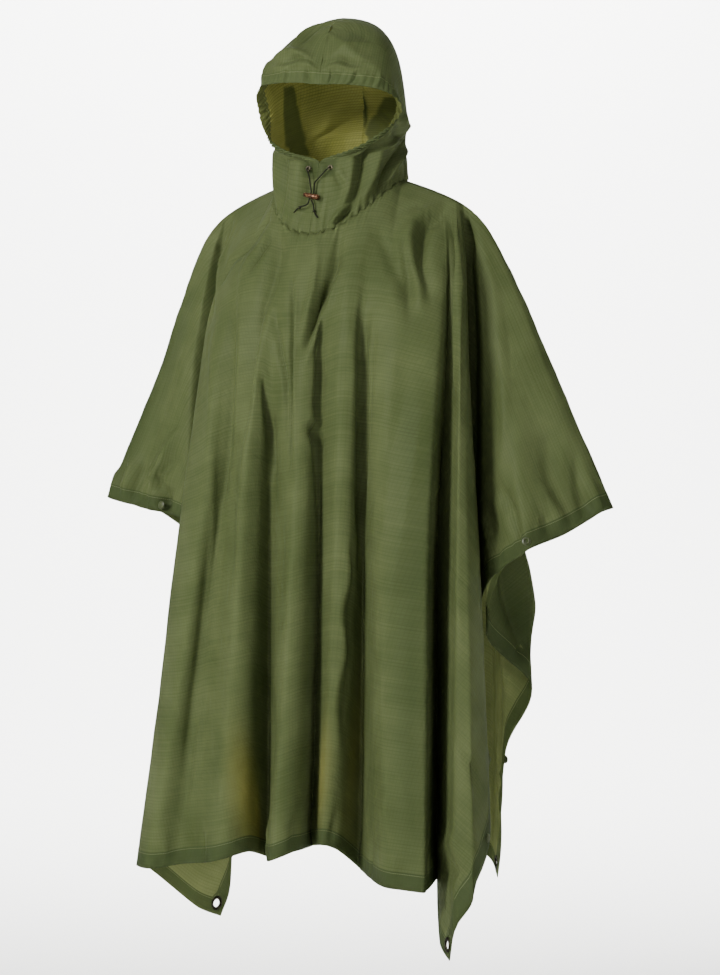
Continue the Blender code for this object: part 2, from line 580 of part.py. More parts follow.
def build_sheet_half(name, folds, face, cloth, metal, paint):
    points, cut, corners = sheet_half(folds, face, COLUMNS_PER_FOLD, BODY_STATIONS, EDGE_STATIONS)
    points = on_own_side(points, face, WALL / 2 + CHORD_ALLOWANCE)
    normals = grid_normals(points, -face)
    straighten_rims(points, normals, face)
    rise = np.zeros(points.shape[:2])
    rise[-2:] = HEM_RISE
    panel = cloth_wall(name, points, normals, rise, cloth, lambda skin: on_own_side(skin, face))
    surface = surface_of(panel)
    for side, column in zip(("left", "right"), corners):
        corner, hem, edge = corner_axes(folds, f"{side}_corner")
        normal = Vector(np.cross(hem, edge))
        if normal @ Vector(normals[-1, column]) < 0:
            normal = -normal
        centre = Vector(corner + EYELET_INSET * (hem + edge))
        eyelet(f"eyelet_{name}_{side}", EYELET, centre, normal, surface, 16, metal)
        cut_hole(panel, centre, normal, EYELET["hole"], f"hole_{name}_{side}")
    last = cut.shape[1] - 1
    for side, columns in (("left", (0, corners[0])), ("right", (corners[1], last))):
        for number, run in enumerate(SNAP_RUNS):
            centre, normal = hem_place(points, normals, cut, columns, run)
            snap(f"snap_{name}_{side}_{number + 1}", centre, normal, surface, paint)
    return panel


def on_own_side(grid, face, inset=0.0):
    """Keeps the cloth beside the shoulder fold on its own side of the fold's plane."""
    beside = np.zeros(grid.shape[:2], bool)
    beside[:4] = np.abs(grid[:4, :, 0]) >= NECK_HALF_WIDTH
    beside[:, [0, 1, -2, -1]] = True
    kept = grid.copy()
    out = np.maximum(face * grid[..., 1], SEAM_GAP / 2 + inset)
    kept[..., 1] = np.where(beside, face * out, grid[..., 1])
    return kept


def straighten_rims(points, normals, face):
    """Turns the rims on the shoulder fold square to it, so that front and back meet face to face."""
    on_fold = np.abs(points[0, :, 0]) >= NECK_HALF_WIDTH
    along = np.gradient(points[0], axis=0)
    level = unit(np.cross(along, (0.0, 1.0, 0.0)))
    level *= np.sign(level[:, 2:])
    normals[0, on_fold] = level[on_fold]
    points[0, on_fold, 1] = face * SEAM_GAP / 2
    for column in (0, -1):
        points[:, column, 1] = face * SEAM_GAP / 2
        down = np.gradient(points[:, column], axis=0)
        square = unit(np.cross(down, (0.0, 1.0, 0.0)))
        square *= np.sign(square[:, :1]) * np.sign(points[-1, column, 0])
        normals[:, column] = square


def hem_place(points, normals, cut, columns, run):
    """The middle of the side hem where its edge is this far from the shoulder fold."""
    first, last = columns
    along = np.abs(cut[-1, first:last + 1, 1])
    order = np.argsort(along)
    inside = []
    for grid in (points, normals):
        middle = (grid[-1, first:last + 1] + grid[-2, first:last + 1]) / 2
        inside.append([np.interp(run, along[order], middle[order, axis]) for axis in range(3)])
    return Vector(inside[0]), Vector(inside[1]).normalized()


def snap(name, centre, normal, surface, finish):
    """A press stud's domed cap, standing on the cloth's outer face."""
    radius = SNAP_RADIUS
    base = cloth_heights(surface, centre, normal, radius)[0] + SEAM_GAP
    profile = [
        (0, base), (radius, base), (radius, base + SNAP_RISE * 0.35),
        (radius * 0.75, base + SNAP_RISE * 0.85), (0, base + SNAP_RISE),
    ]
    return turned_ring(name, profile, centre, normal, 12, finish)


def build_hood_half(side, sheet, cloth):
    points = hood_half(side, HOOD_ROWS_PER_KNOT, HOOD_STATIONS)
    normals = grid_normals(points, 1 if side == "left" else -1)
    stand_on(sheet, points, normals)
    rise = np.zeros(points.shape[:2])
    throat = THROAT_HOOP * HOOD_ROWS_PER_KNOT
    rise[throat:, :2] = CASING_RISE
    outward = 1 if side == "left" else -1
    middle = [(slice(None), -1), (slice(0, throat + 1), 0), (-1, slice(None))]
    on_middle = np.zeros(points.shape[:2], bool)
    for place in middle:
        on_middle[place] = True
    length = np.linalg.norm(normals[on_middle], axis=-1, keepdims=True)
    normals[on_middle, 0] = 0.0
    normals[on_middle] = unit(normals[on_middle]) * length
    points[on_middle, 0] = outward * SEAM_GAP / 2
    return cloth_wall(f"hood_{side}", points, normals, rise, cloth, turned_hood)


def stand_on(sheet, points, normals):
    """Sets the hood's lowest row just above the sheet, all along its straight edges."""
    normals[0] = unit(normals[0] * (1, 1, 0))
    rim, level = points[0], normals[0]
    ground = np.array([height_under(sheet, *pair) for pair in zip(rim, level)])
    rim[:, 2] = ground
    for first in range(len(rim) - 1):
        lacking = 0.0
        for share in np.linspace(0, 1, 9)[1:-1]:
            place = rim[first] * (1 - share) + rim[first + 1] * share
            across = level[first] * (1 - share) + level[first + 1] * share
            lacking = max(lacking, height_under(sheet, place, across) - place[2])
        rim[first:first + 2, 2] += lacking
    rim[:, 2] += SEAM_GAP + CHORD_ALLOWANCE


def height_under(sheet, place, across):
    """The sheet's height under a wall that stands at a place."""
    heights = []
    for step in np.linspace(-1.0, 2.0, 10) * WALL:
        start = Vector((*(place + across * step)[:2], 0.08))
        hit = sheet.ray_cast(start, Vector((0, 0, -1)), 0.4)[0]
        if hit is not None and abs(hit.z) < 0.13:
            heights.append(hit.z)
    return max(heights)


def laid(surface, x, z, height):
    """The place this far in front of the collar's outer face, and the face's own direction."""
    hit, normal, _, _ = surface.ray_cast(Vector((x, -0.4, z)), Vector((0, 1, 0)))
    return hit + normal * height, normal


def build_draw_cord(hood, cord, metal, brown):
    surface = surface_of(*hood.values())
    for side, (above, _) in CORD_ROUTES.items():
        x, z, _ = above[0]
        centre, normal = laid(surface, x, z, -WALL / 2)
        cut_hole(hood[side], centre, normal, HOOD_EYELET["hole"], f"hole_hood_{side}", 0.004)
        eyelet(f"hood_eyelet_{side}", HOOD_EYELET, centre, normal, surface, 12, metal)

    centre, outward = laid(surface, *TOGGLE_PLACE, TOGGLE_HEIGHT)
    along = Vector((1.0, 0.0, TOGGLE_TILT)).normalized()
    outward = (outward - along * (outward @ along)).normalized()
    down = along.cross(outward)
    down *= -1 if down.z > 0 else 1
    half = TOGGLE_LENGTH / 2
    profile = [
        (0, -half), (TOGGLE_RADIUS * 0.72, -half), (TOGGLE_RADIUS, -half * 0.72),
        (TOGGLE_RADIUS, half * 0.1), (TOGGLE_FLARE, half * 0.72), (TOGGLE_FLARE * 0.75, half),
        (0, half),
    ]
    toggle = turned_ring("toggle", profile, centre, along, 16, brown)
    for side, (above, below) in CORD_ROUTES.items():
        step = along * (TOGGLE_HOLES["apart"] / 2 * (1 if side == "left" else -1))
        cut_hole(toggle, centre + step, down, TOGGLE_HOLES["radius"], f"hole_toggle_{side}")
        upper = [laid(surface, *place)[0] for place in above]
        lower = [laid(surface, *place)[0] for place in below]
        through = [centre + step + down * depth for depth in (-0.0065, 0.0, 0.0065)]
        number = KNOTS[side]
        travel = (lower[number + 1] - lower[number - 1]).normalized()
        straight = [lower[number] + travel * depth for depth in (-0.0038, 0.0, 0.0038)]
        route = upper + through + lower[:number] + straight + lower[number + 1:]
        tube(f"cord_{side}", route, CORD_RADIUS, cord)
        knot(f"knot_{side}", lower[number], travel, cord)


def knot(name, centre, travel, finish):
    """A stopper knot, simplified to a round bead that the cord passes through."""
    bore = CORD_RADIUS + SEAM_GAP
    radius = KNOT_RADIUS
    profile = [
        (bore, -radius * 0.8), (radius * 0.75, -radius * 0.8), (radius, -radius * 0.3),
        (radius, radius * 0.3), (radius * 0.75, radius * 0.8), (bore, radius * 0.8),
    ]
    return turned_ring(name, profile, centre, travel, 12, finish)


def main():
    for thing in list(bpy.data.objects):
        bpy.data.objects.remove(thing, do_unlink=True)
    cloth = material("ripstop_nylon_olive", (0.085, 0.11, 0.04), 0.45)
    metal = material("blackened_brass", (0.10, 0.09, 0.07), 0.35, 0.9)
    paint = material("olive_painted_brass", (0.05, 0.062, 0.028), 0.4)
    cord = material("dark_cord", (0.02, 0.022, 0.014), 0.8)
    brown = material("brown_plastic", (0.16, 0.09, 0.04), 0.5)
    sheet = surface_of(
        build_sheet_half("front", FRONT_FOLDS, FRONT, cloth, metal, paint),
        build_sheet_half("back", BACK_FOLDS, BACK, cloth, metal, paint),
    )
    hood = {side: build_hood_half(side, sheet, cloth) for side in ("left", "right")}
    build_draw_cord(hood, cord, metal, brown)


main()
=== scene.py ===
"""Looks of a hooded rain poncho in olive ripstop nylon, hanging as it is worn.

Metres, +Z up. The origin is on the body's axis, level with the foot of the neck. The wearer
faces -Y, and the wearer's left arm is on +X.
"""

import math

import bpy
import numpy as np
from mathutils import Matrix, Vector
from mathutils.bvhtree import BVHTree


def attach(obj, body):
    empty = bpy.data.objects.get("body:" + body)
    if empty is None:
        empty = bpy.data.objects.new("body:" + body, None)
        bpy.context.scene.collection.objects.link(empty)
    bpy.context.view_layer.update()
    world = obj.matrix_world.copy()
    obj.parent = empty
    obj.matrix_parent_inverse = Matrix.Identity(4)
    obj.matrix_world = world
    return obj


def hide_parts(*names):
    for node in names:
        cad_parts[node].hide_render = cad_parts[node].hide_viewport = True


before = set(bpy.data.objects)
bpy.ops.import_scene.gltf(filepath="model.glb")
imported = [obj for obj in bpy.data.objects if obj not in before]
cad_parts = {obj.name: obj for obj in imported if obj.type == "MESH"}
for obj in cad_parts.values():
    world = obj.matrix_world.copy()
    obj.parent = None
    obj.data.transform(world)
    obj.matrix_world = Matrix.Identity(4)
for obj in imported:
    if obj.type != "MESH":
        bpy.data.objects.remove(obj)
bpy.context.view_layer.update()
bpy.ops.object.select_all(action="DESELECT")


# ---------------------------------------------------------------- studio
# A level view from the wearer's left front, on a pale sweep of paper that is floor and
# backdrop in one. The main light stands to the left, with weaker ones to the right and above
# it, and a lamp of the paper's own behind the poncho.

VIEW_TURN = math.radians(27)
VIEW_DISTANCE = 4.5
VIEW_ASIDE = 0.028
VIEW_HEIGHT = -0.472
VIEW_LENS = 106.34
VIEW_SENSOR = 36
VIEW_REACH = 60
FLOOR_HEIGHT = -1.46
SWEEP_HALF_WIDTH = 12.0
ROOM_LIGHT = 0.17


def to_linear(code, alpha=1.0):
    """A linear colour from an sRGB hex value such as "#5A6238"."""
    parts = [int(code[place:place + 2], 16) / 255 for place in (1, 3, 5)]
    linear = [
        part / 12.92 if part <= 0.04045 else ((part + 0.055) / 1.055) ** 2.4 for part in parts
    ]
    return (*linear, alpha)


def new_material(name, **sockets):
    """A material whose shader's sockets have these values."""
    made = bpy.data.materials.new(name)
    made.use_nodes = True
    shader = made.node_tree.nodes["Principled BSDF"]
    for socket, value in sockets.items():
        shader.inputs[socket.replace("_", " ")].default_value = value
    return made


def add_node(material, kind, settings=None, inputs=None):
    """One node with its settings; an input is a value or another node's output."""
    node = material.node_tree.nodes.new("ShaderNode" + kind)
    for name, value in (settings or {}).items():
        setattr(node, name, value)
    for name, value in (inputs or {}).items():
        if isinstance(value, bpy.types.NodeSocket):
            material.node_tree.links.new(value, node.inputs[name])
        else:
            node.inputs[name].default_value = value
    return node


def feed(material, socket, output):
    """Links an output to one of the shader's own sockets."""
    shader = material.node_tree.nodes["Principled BSDF"]
    material.node_tree.links.new(output, shader.inputs[socket])


def add_object(name, data):
    """A new object in the scene, at the origin."""
    made = bpy.data.objects.new(name, data)
    bpy.context.scene.collection.objects.link(made)
    return made


def seen_from(aside, towards, height):
    """A place so far to the right of the view's axis, towards the viewer, and up."""
    right = Vector((math.cos(VIEW_TURN), math.sin(VIEW_TURN), 0))
    near = Vector((math.sin(VIEW_TURN), -math.cos(VIEW_TURN), 0))
    return right * aside + near * towards + Vector((0, 0, height))


camera_data = bpy.data.cameras.new("camera")
camera_data.lens = VIEW_LENS
camera_data.sensor_width = VIEW_SENSOR
camera_data.clip_end = VIEW_REACH
camera = add_object("camera", camera_data)
camera.location = seen_from(VIEW_ASIDE, VIEW_DISTANCE, VIEW_HEIGHT)
camera.rotation_euler = (math.pi / 2, 0, VIEW_TURN)
bpy.context.scene.camera = camera

# The paper's section: distance towards the viewer, and height over the floor.
SWEEP_PROFILE = ((9.0, 0.0), (-3.0, 0.0), (-4.2, 0.25), (-5.0, 1.0), (-5.3, 2.2), (-5.3, 8.0))
sweep = bpy.data.meshes.new("paper_sweep")
sweep_points = []
for aside in (-SWEEP_HALF_WIDTH, SWEEP_HALF_WIDTH):
    for towards, up in SWEEP_PROFILE:
        sweep_points.append(seen_from(aside, towards, FLOOR_HEIGHT + up))
steps = len(SWEEP_PROFILE)
sweep.from_pydata(sweep_points, [], [
    (number, number + steps, number + 1 + steps, number + 1) for number in range(steps - 1)
])
backdrop = add_object("paper_sweep", sweep)
backdrop.modifiers.new("soft_bend", "SUBSURF").levels = 3
backdrop.modifiers["soft_bend"].render_levels = 3
# Matt white paper. Its back is clear, so that the poncho's own back can be seen past it.
paper = new_material("white_paper", Base_Color=to_linear("#F6F6F4"), Roughness=0.9)
facing = add_node(paper, "NewGeometry")
clear = add_node(paper, "BsdfTransparent")
one_sided = add_node(paper, "MixShader", inputs={
    0: facing.outputs["Backfacing"], 1: paper.node_tree.nodes["Principled BSDF"].outputs["BSDF"],
    2: clear.outputs["BSDF"],
})
surface = paper.node_tree.nodes["Material Output"].inputs["Surface"]
paper.node_tree.links.new(one_sided.outputs["Shader"], surface)
sweep.materials.append(paper)
sweep.shade_smooth()
# The paper isn't mirrored in the cloth, whose rims would turn white against it.
backdrop.visible_glossy = False

BODY_MIDDLE = Vector((0, 0, -0.35))
PAPER_MIDDLE = seen_from(0, -7, 1.6)
# Columns: name, aside, towards, height, size, watts, what it is aimed at.
LIGHTS = (
    ("key", -2.8, 2.8, 1.1, 0.9, 158.0, BODY_MIDDLE),
    ("fill", 2.3, 3.4, 0.1, 1.2, 30.0, BODY_MIDDLE),
    ("top", -0.5, 1.2, 2.9, 1.0, 20.0, BODY_MIDDLE),
    ("paper", 0.0, -2.2, 3.6, 4.0, 1900.0, PAPER_MIDDLE),
)
for name, aside, towards, height, size, watts, target in LIGHTS:
    lamp = bpy.data.lights.new(name, "AREA")
    lamp.size = size
    lamp.energy = watts
    stand = add_object(name, lamp)
    stand.location = seen_from(aside, towards, height)
    stand.rotation_euler = (target - stand.location).to_track_quat("-Z", "Y").to_euler()
world = bpy.data.worlds.new("soft_room")
world.use_nodes = True
background = world.node_tree.nodes["Background"]
background.inputs["Color"].default_value = to_linear("#FFFFFF")
background.inputs["Strength"].default_value = ROOM_LIGHT
bpy.context.scene.world = world


# ---------------------------------------------------------------- draw cord
# A 2 mm dark braided cord runs in the hood's casing and comes out of two small eyelets. Both
# ends pass through a barrel toggle and end in stopper knots that lie on the collar.

CORD_RADIUS = 0.0010
TOGGLE_LENGTH = 0.026
TOGGLE_PLACE = (0.0017, -0.027)
TOGGLE_TILT = -0.24
TOGGLE_HEIGHT = 0.0066
TOGGLE_HOLES_APART = 0.0044
TOGGLE_HALF_BORE = 0.0065
# Each end's route above and below the toggle, as x, z and height over the collar's cloth.
CORD_ROUTES = dict(
    right=(
        ((-0.0111, 0.0180, -0.0010), (-0.0111, 0.0180, 0.0020), (-0.0104, 0.0164, 0.0048),
         (-0.0082, 0.0118, 0.0062), (-0.0045, 0.0020, 0.0056), (-0.0018, -0.0090, 0.0060)),
        ((-0.0040, -0.0385, 0.0060), (-0.0105, -0.0410, 0.0048), (-0.0180, -0.0432, 0.0048),
         (-0.0255, -0.0462, 0.0034), (-0.0307, -0.0500, 0.0026)),
    ),
    left=(
        ((0.0259, 0.0180, -0.0010), (0.0259, 0.0180, 0.0020), (0.0248, 0.0166, 0.0048),
         (0.0215, 0.0126, 0.0062), (0.0125, 0.0026, 0.0056), (0.0052, -0.0085, 0.0060)),
        ((0.0048, -0.0400, 0.0060), (0.0052, -0.0440, 0.0050), (0.0066, -0.0500, 0.0048),
         (0.0090, -0.0560, 0.0034), (0.0122, -0.0600, 0.0026)),
    ),
)
KNOT_PLACE = 2
KNOT_HALF_RUN = 0.0038
KNOT_SIZE = 0.00066
KNOT_PULL = 0.85
CORD_SPACING = 0.001
RAY_START = -0.4
COLLAR_INSIDE = -0.05
EYELET_STEP = 0.005


def smooth_rows(knots, at, breaks=()):
    """Values between the rows of a table, with no overshoot at crests and troughs.

    Monotone cubic in the row's number. At a row in breaks the curve may turn sharply.
    """
    knots = np.asarray(knots, float)
    ends = sorted({0, len(knots) - 1, *breaks})
    values = np.empty((len(at), knots.shape[1]))
    for start, stop in zip(ends, ends[1:]):
        rise = np.diff(knots[start:stop + 1], axis=0)
        if len(rise) == 1:
            slope = np.vstack([rise[:1], rise[-1:]])
        else:
            before, after = rise[:-1], rise[1:]
            product = before * after
            total = np.where(product > 0, before + after, 1.0)
            inner = np.where(product > 0, 2 * product / total, 0.0)
            slope = np.vstack([rise[:1], inner, rise[-1:]])
        here = (at >= start) & (at <= stop)
        row = np.minimum(np.floor(at[here]).astype(int), stop - 1) - start
        share = (at[here] - start - row)[:, None]
        low, high = knots[start + row], knots[start + row + 1]
        values[here] = (
            low * (1 + 2 * share) * (1 - share) ** 2
            + slope[row] * share * (1 - share) ** 2
            + high * share ** 2 * (3 - 2 * share)
            + slope[row + 1] * share ** 2 * (share - 1)
        )
    return values


def unit(vectors):
    """The same directions with a length of one."""
    return vectors / np.maximum(np.linalg.norm(vectors, axis=-1, keepdims=True), 1e-12)


def running_length(points):
    """How far along a line of points each of them lies."""
    steps = np.linalg.norm(np.diff(points, axis=0), axis=-1)
    return np.concatenate([np.zeros((1,) + steps.shape[1:]), np.cumsum(steps, axis=0)])


def add_mesh(name, places, faces, *materials):
    """A new object at the origin from points and faces, shaded smooth."""
    mesh = bpy.data.meshes.new(name)
    mesh.from_pydata([tuple(place) for place in places], [], faces)
    for finish in materials:
        mesh.materials.append(finish)
    mesh.shade_smooth()
    return add_object(name, mesh)


def surface_of(*things):
    """Something rays can be cast at, made of the objects' meshes."""
    places, faces = [], []
    for thing in things:
        start = len(places)
        places += [thing.matrix_world @ vertex.co for vertex in thing.data.vertices]
        faces += [[start + number for number in face.vertices] for face in thing.data.polygons]
    return BVHTree.FromPolygons(places, faces)


def laid(surface, x, z, height):
    """The place this far in front of the collar's outer face, and the face's own direction.

    Over an eyelet's hole it is taken from the cloth 5 mm to either side.
    """
    inwards = Vector((0, 1, 0))
    hit, normal = surface.ray_cast(Vector((x, RAY_START, z)), inwards)[:2]
    if hit is None or hit.y > COLLAR_INSIDE:
        beside = [
            surface.ray_cast(Vector((x + step, RAY_START, z)), inwards)[:2]
            for step in (-EYELET_STEP, EYELET_STEP)
        ]
        hit = (beside[0][0] + beside[1][0]) / 2
        normal = (beside[0][1] + beside[1][1]).normalized()
    return hit + normal * height, normal


def even_line(route, spacing):
    """Points at an even spacing on the smooth curve through a route's points."""
    knots = np.array(route)
    dense = smooth_rows(knots, np.linspace(0, len(knots) - 1, 20 * len(knots)))
    run = running_length(dense)
    wanted = np.linspace(0, run[-1], max(int(run[-1] / spacing), 8))
    return np.stack([np.interp(wanted, run, dense[:, axis]) for axis in range(3)], axis=-1)


def corded(name, line, radius, sides, finish, closed=False):
    """A round tube along a line of points, with lengths round and along it as its UV map."""
    count = len(line)
    ahead = np.roll(line, -1, axis=0) - np.roll(line, 1, axis=0)
    if not closed:
        ahead[0], ahead[-1] = line[1] - line[0], line[-1] - line[-2]
    ahead = unit(ahead)
    side = unit(np.cross(ahead[0], (0.3, 0.2, 1.0)))
    places = []
    turn = np.arange(sides) * 2 * np.pi / sides
    for place, along in zip(line, ahead):
        side = unit(side - along * (side @ along))
        ring = np.outer(np.cos(turn), side) + np.outer(np.sin(turn), np.cross(along, side))
        places += list(place + radius * ring)
    faces, layout = [], []
    run = running_length(line)
    step = 2 * np.pi * radius / sides
    for number in range(count if closed else count - 1):
        after = (number + 1) % count
        far = run[after] if after else run[-1] + (run[1] - run[0])
        for corner in range(sides):
            nearby = (corner + 1) % sides
            faces.append((
                number * sides + corner, number * sides + nearby,
                after * sides + nearby, after * sides + corner,
            ))
            low, high = corner * step, (corner + 1) * step
            layout += [(low, run[number]), (high, run[number]), (high, far), (low, far)]
    if not closed:
        faces += [tuple(range(sides))[::-1], tuple(range((count - 1) * sides, count * sides))]
        layout += [(0.0, 0.0)] * (2 * sides)
    made = add_mesh(name, places, faces, finish)
    uv = made.data.uv_layers.new(name="lengths")
    uv.data.foreach_set("uv", np.array(layout, np.float32).ravel())
    return made


# Braided polyester: dull, with a diagonal plait. Its cells are 1.1 by 1.6 mm, as coarse as
# they need to be to show, and break the highlight into small beads.
PLAIT_PER_METRE = (900, 620, 1)
PLAIT_TURN = math.radians(38)
braid = new_material("braided_polyester", Roughness=0.8, Specular_IOR_Level=0.2)
braid_uv = add_node(braid, "UVMap", {"uv_map": "lengths"})
braid_turn = add_node(braid, "Mapping", inputs={
    "Vector": braid_uv.outputs["UV"], "Rotation": (0, 0, PLAIT_TURN), "Scale": PLAIT_PER_METRE,
})
braid_cells = add_node(braid, "TexChecker", inputs={
    "Vector": braid_turn.outputs["Vector"], "Scale": 1.0,
    "Color1": to_linear("#26251A"), "Color2": to_linear("#12130C"),
})
feed(braid, "Base Color", braid_cells.outputs["Color"])
braid_bump = add_node(braid, "Bump", inputs={
    "Strength": 0.8, "Distance": 0.0002, "Height": braid_cells.outputs["Fac"],
})
feed(braid, "Normal", braid_bump.outputs["Normal"])

collar = surface_of(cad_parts["hood_left"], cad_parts["hood_right"])
toggle_centre, toggle_out = laid(collar, *TOGGLE_PLACE, TOGGLE_HEIGHT)
toggle_along = Vector((1.0, 0.0, TOGGLE_TILT)).normalized()
toggle_out = (toggle_out - toggle_along * (toggle_out @ toggle_along)).normalized()
toggle_down = toggle_along.cross(toggle_out)
toggle_down *= -1 if toggle_down.z > 0 else 1

cords = {}
for side, (above, below) in CORD_ROUTES.items():
    step = toggle_along * (TOGGLE_HOLES_APART / 2 * (1 if side == "left" else -1))
    upper = [laid(collar, *place)[0] for place in above]
    lower = [laid(collar, *place)[0] for place in below]
    through = [
        toggle_centre + step + toggle_down * depth
        for depth in (-TOGGLE_HALF_BORE, 0.0, TOGGLE_HALF_BORE)
    ]
    travel = (lower[KNOT_PLACE + 1] - lower[KNOT_PLACE - 1]).normalized()
    straight = [
        lower[KNOT_PLACE] + travel * depth for depth in (-KNOT_HALF_RUN, 0.0, KNOT_HALF_RUN)
    ]
    route = upper + through + lower[:KNOT_PLACE] + straight + lower[KNOT_PLACE + 1:]
    line = even_line(route, CORD_SPACING)
    cords[side] = corded(f"draw_cord_{side}", line, CORD_RADIUS, 12, braid)
    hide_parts(f"cord_{side}")
    # A thumb knot: the cord's own thickness, wound in a tight trefoil round itself.
    turns = np.linspace(0, 2 * np.pi, 72, endpoint=False)
    trefoil = np.stack([
        np.sin(turns) + 1.7 * np.sin(2 * turns),
        np.cos(turns) - 1.7 * np.cos(2 * turns),
        -1.25 * np.sin(3 * turns),
    ], axis=-1) * KNOT_SIZE
    frame_turn = np.array(travel.to_track_quat("Z", "Y").to_matrix())
    knot_line = trefoil @ frame_turn.T + np.array(lower[KNOT_PLACE])
    tied = corded(f"thumb_knot_{side}", knot_line, CORD_RADIUS * KNOT_PULL, 10, braid, closed=True)
    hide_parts(f"knot_{side}")
    for piece in (cords[side], tied):
        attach(piece, "root")


# ---------------------------------------------------------------- toggle
# A small turned barrel with two holes side by side for the cord. It flares at one end, and
# its brown lacquer has rubbed to copper on the rounds.

TOGGLE_RADIUS = 0.0036
TOGGLE_HOLE_RADIUS = 0.0013
TOGGLE_EDGE = 0.00035
# Along the barrel from -1 to 1, and the radius there as a share of the barrel's.
TOGGLE_RINGS = (
    (-1.0, 0.70), (-0.80, 0.98), (-0.72, 0.88), (-0.62, 1.0), (0.10, 1.02), (0.42, 1.14),
    (0.52, 1.06), (0.62, 1.24), (0.82, 1.26), (1.0, 0.96),
)


def changed(piece, kind, name, **settings):
    """Gives a piece a modifier with these settings, and applies it."""
    change = piece.modifiers.new(name, kind)
    for setting, value in settings.items():
        setattr(change, setting, value)
    bpy.context.view_layer.objects.active = piece
    bpy.ops.object.modifier_apply(modifier=name)


def drilled(piece, place, axis, radius, depth, vertices):
    """A round hole through a piece, lined with the piece's first material."""
    bpy.ops.object.select_all(action="DESELECT")
    bpy.ops.mesh.primitive_cylinder_add(
        vertices=vertices, radius=radius, depth=depth, location=place,
        rotation=axis.to_track_quat("Z", "Y").to_euler(),
    )
    drill = bpy.context.object
    drill.data.materials.append(piece.data.materials[0])
    changed(piece, "BOOLEAN", "hole", object=drill, solver="EXACT")
    bpy.data.objects.remove(drill, do_unlink=True)


def worn_metal(name, scale, deep, bright, **sockets):
    """A finish in two colours, with bright patches where it is rubbed.

    Each colour is a hex value and where it lies between the noise's lows and highs.
    """
    made = new_material(name, **sockets)
    place = add_node(made, "TexCoord")
    wear = add_node(made, "TexNoise", inputs={
        "Vector": place.outputs["Object"], "Scale": scale, "Detail": 4.0,
    })
    tone = add_node(made, "ValToRGB", inputs={"Fac": wear.outputs["Fac"]})
    for stop, (code, position) in zip(tone.color_ramp.elements, (deep, bright)):
        stop.position = position
        stop.color = to_linear(code)
    feed(made, "Base Color", tone.outputs["Color"])
    return made


# Lacquered brass: brown lacquer over metal, thin enough to shine, worn in patches of 2 mm.
lacquer = worn_metal(
    "worn_brown_lacquer", 420.0, ("#3A2417", 0.42), ("#9A6A48", 0.66), Roughness=0.34,
    Metallic=0.55,
)

bpy.ops.object.select_all(action="DESELECT")
bpy.ops.mesh.primitive_cylinder_add(
    vertices=32, radius=TOGGLE_RADIUS, depth=TOGGLE_LENGTH, end_fill_type="NGON",
)
toggle = bpy.context.object
toggle.name = toggle.data.name = "barrel_toggle"
toggle.data.materials.append(lacquer)
for height, _ in TOGGLE_RINGS[1:-1]:
    bpy.ops.object.mode_set(mode="EDIT")
    bpy.ops.mesh.select_all(action="SELECT")
    bpy.ops.mesh.bisect(plane_co=(0, 0, height * TOGGLE_LENGTH / 2), plane_no=(0, 0, 1))
    bpy.ops.object.mode_set(mode="OBJECT")
ring_heights, ring_scales = zip(*TOGGLE_RINGS)
for vertex in toggle.data.vertices:
    swell = np.interp(vertex.co.z * 2 / TOGGLE_LENGTH, ring_heights, ring_scales)
    vertex.co.x *= swell
    vertex.co.y *= swell
toggle_turn = toggle_along.to_track_quat("Z", "Y").to_matrix().to_4x4()
toggle.matrix_world = Matrix.Translation(toggle_centre) @ toggle_turn
bpy.ops.object.transform_apply(location=True, rotation=True, scale=True)
for side in (-1, 1):
    place = toggle_centre + toggle_along * (side * TOGGLE_HOLES_APART / 2)
    drilled(toggle, place, toggle_down, TOGGLE_HOLE_RADIUS, depth=0.02, vertices=20)
changed(toggle, "BEVEL", "soft_edge", width=TOGGLE_EDGE, segments=2, limit_method="ANGLE")
toggle.select_set(True)
bpy.ops.object.shade_smooth_by_angle(angle=math.radians(35))
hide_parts("toggle")
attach(toggle, "root")


# ---------------------------------------------------------------- body sheet
# One rectangular sheet of ripstop nylon with a hole for the neck, folded over the shoulders.
# Each half falls in folds that fan out from the shoulder points, with a 25 mm turned hem.

SHEET_WIDTH = 1.48
SHEET_LENGTH = 2.12
HEM_WIDTH = 0.025
NECK_HALF_WIDTH = 0.105
NECK_SEAM_RUN = 0.17
NECK_SIDE_HEIGHT = 0.004
# How far out the neck seam's middle lies, how high over its sides, and how its rise bends.
NECK_FRONT = (-0.105, -0.086, 1.5)
NECK_BACK = (0.085, 0.016, 1.0)
NECK_CUT_DEPTH = 0.11
SHOULDER_SPREAD = 0.95
SHOULDER_FALL = 0.30
SHOULDER_BEND = 0.50
CHEST_HEIGHT = -0.27
CHEST_SHARE = 0.27
FOLDS_BEGIN = 0.05
FOLDS_FULL = 0.62
SOFT_HALF_WIDTH = 0.285
SOFT_FADE = 0.045
SOFT_REACH = 0.05
CREASE_DEPTH = 1.45
PUCKER_DEPTH = 1.6
PUCKER_WIDTH = 7
UNREST_HEIGHT = 0.0011
GATHER_HEIGHT = 0.0019
HEM_RISE = 0.0004
HEM_RISE_WIDTH = 0.0255
SHOULDER_GAP = 0.0006
SHOULDER_ROWS = 4
ARM_FOLD_GAP = 0.0004
MILLIMETRES = 1000
CLOTH_THICKNESS = 0.0010
SHEET_COLUMNS = 400
SHEET_ROWS = 108
TOP_SAMPLES = 2001
LINE_SAMPLES = 161
FOOT_WEIGHT = 0.5
CHEST_WEIGHT = 2.2
HEM_ROWS = (0.031, 0.0265, 0.0250, 0.0232, 0.019, 0.012, 0.005, 0.0)

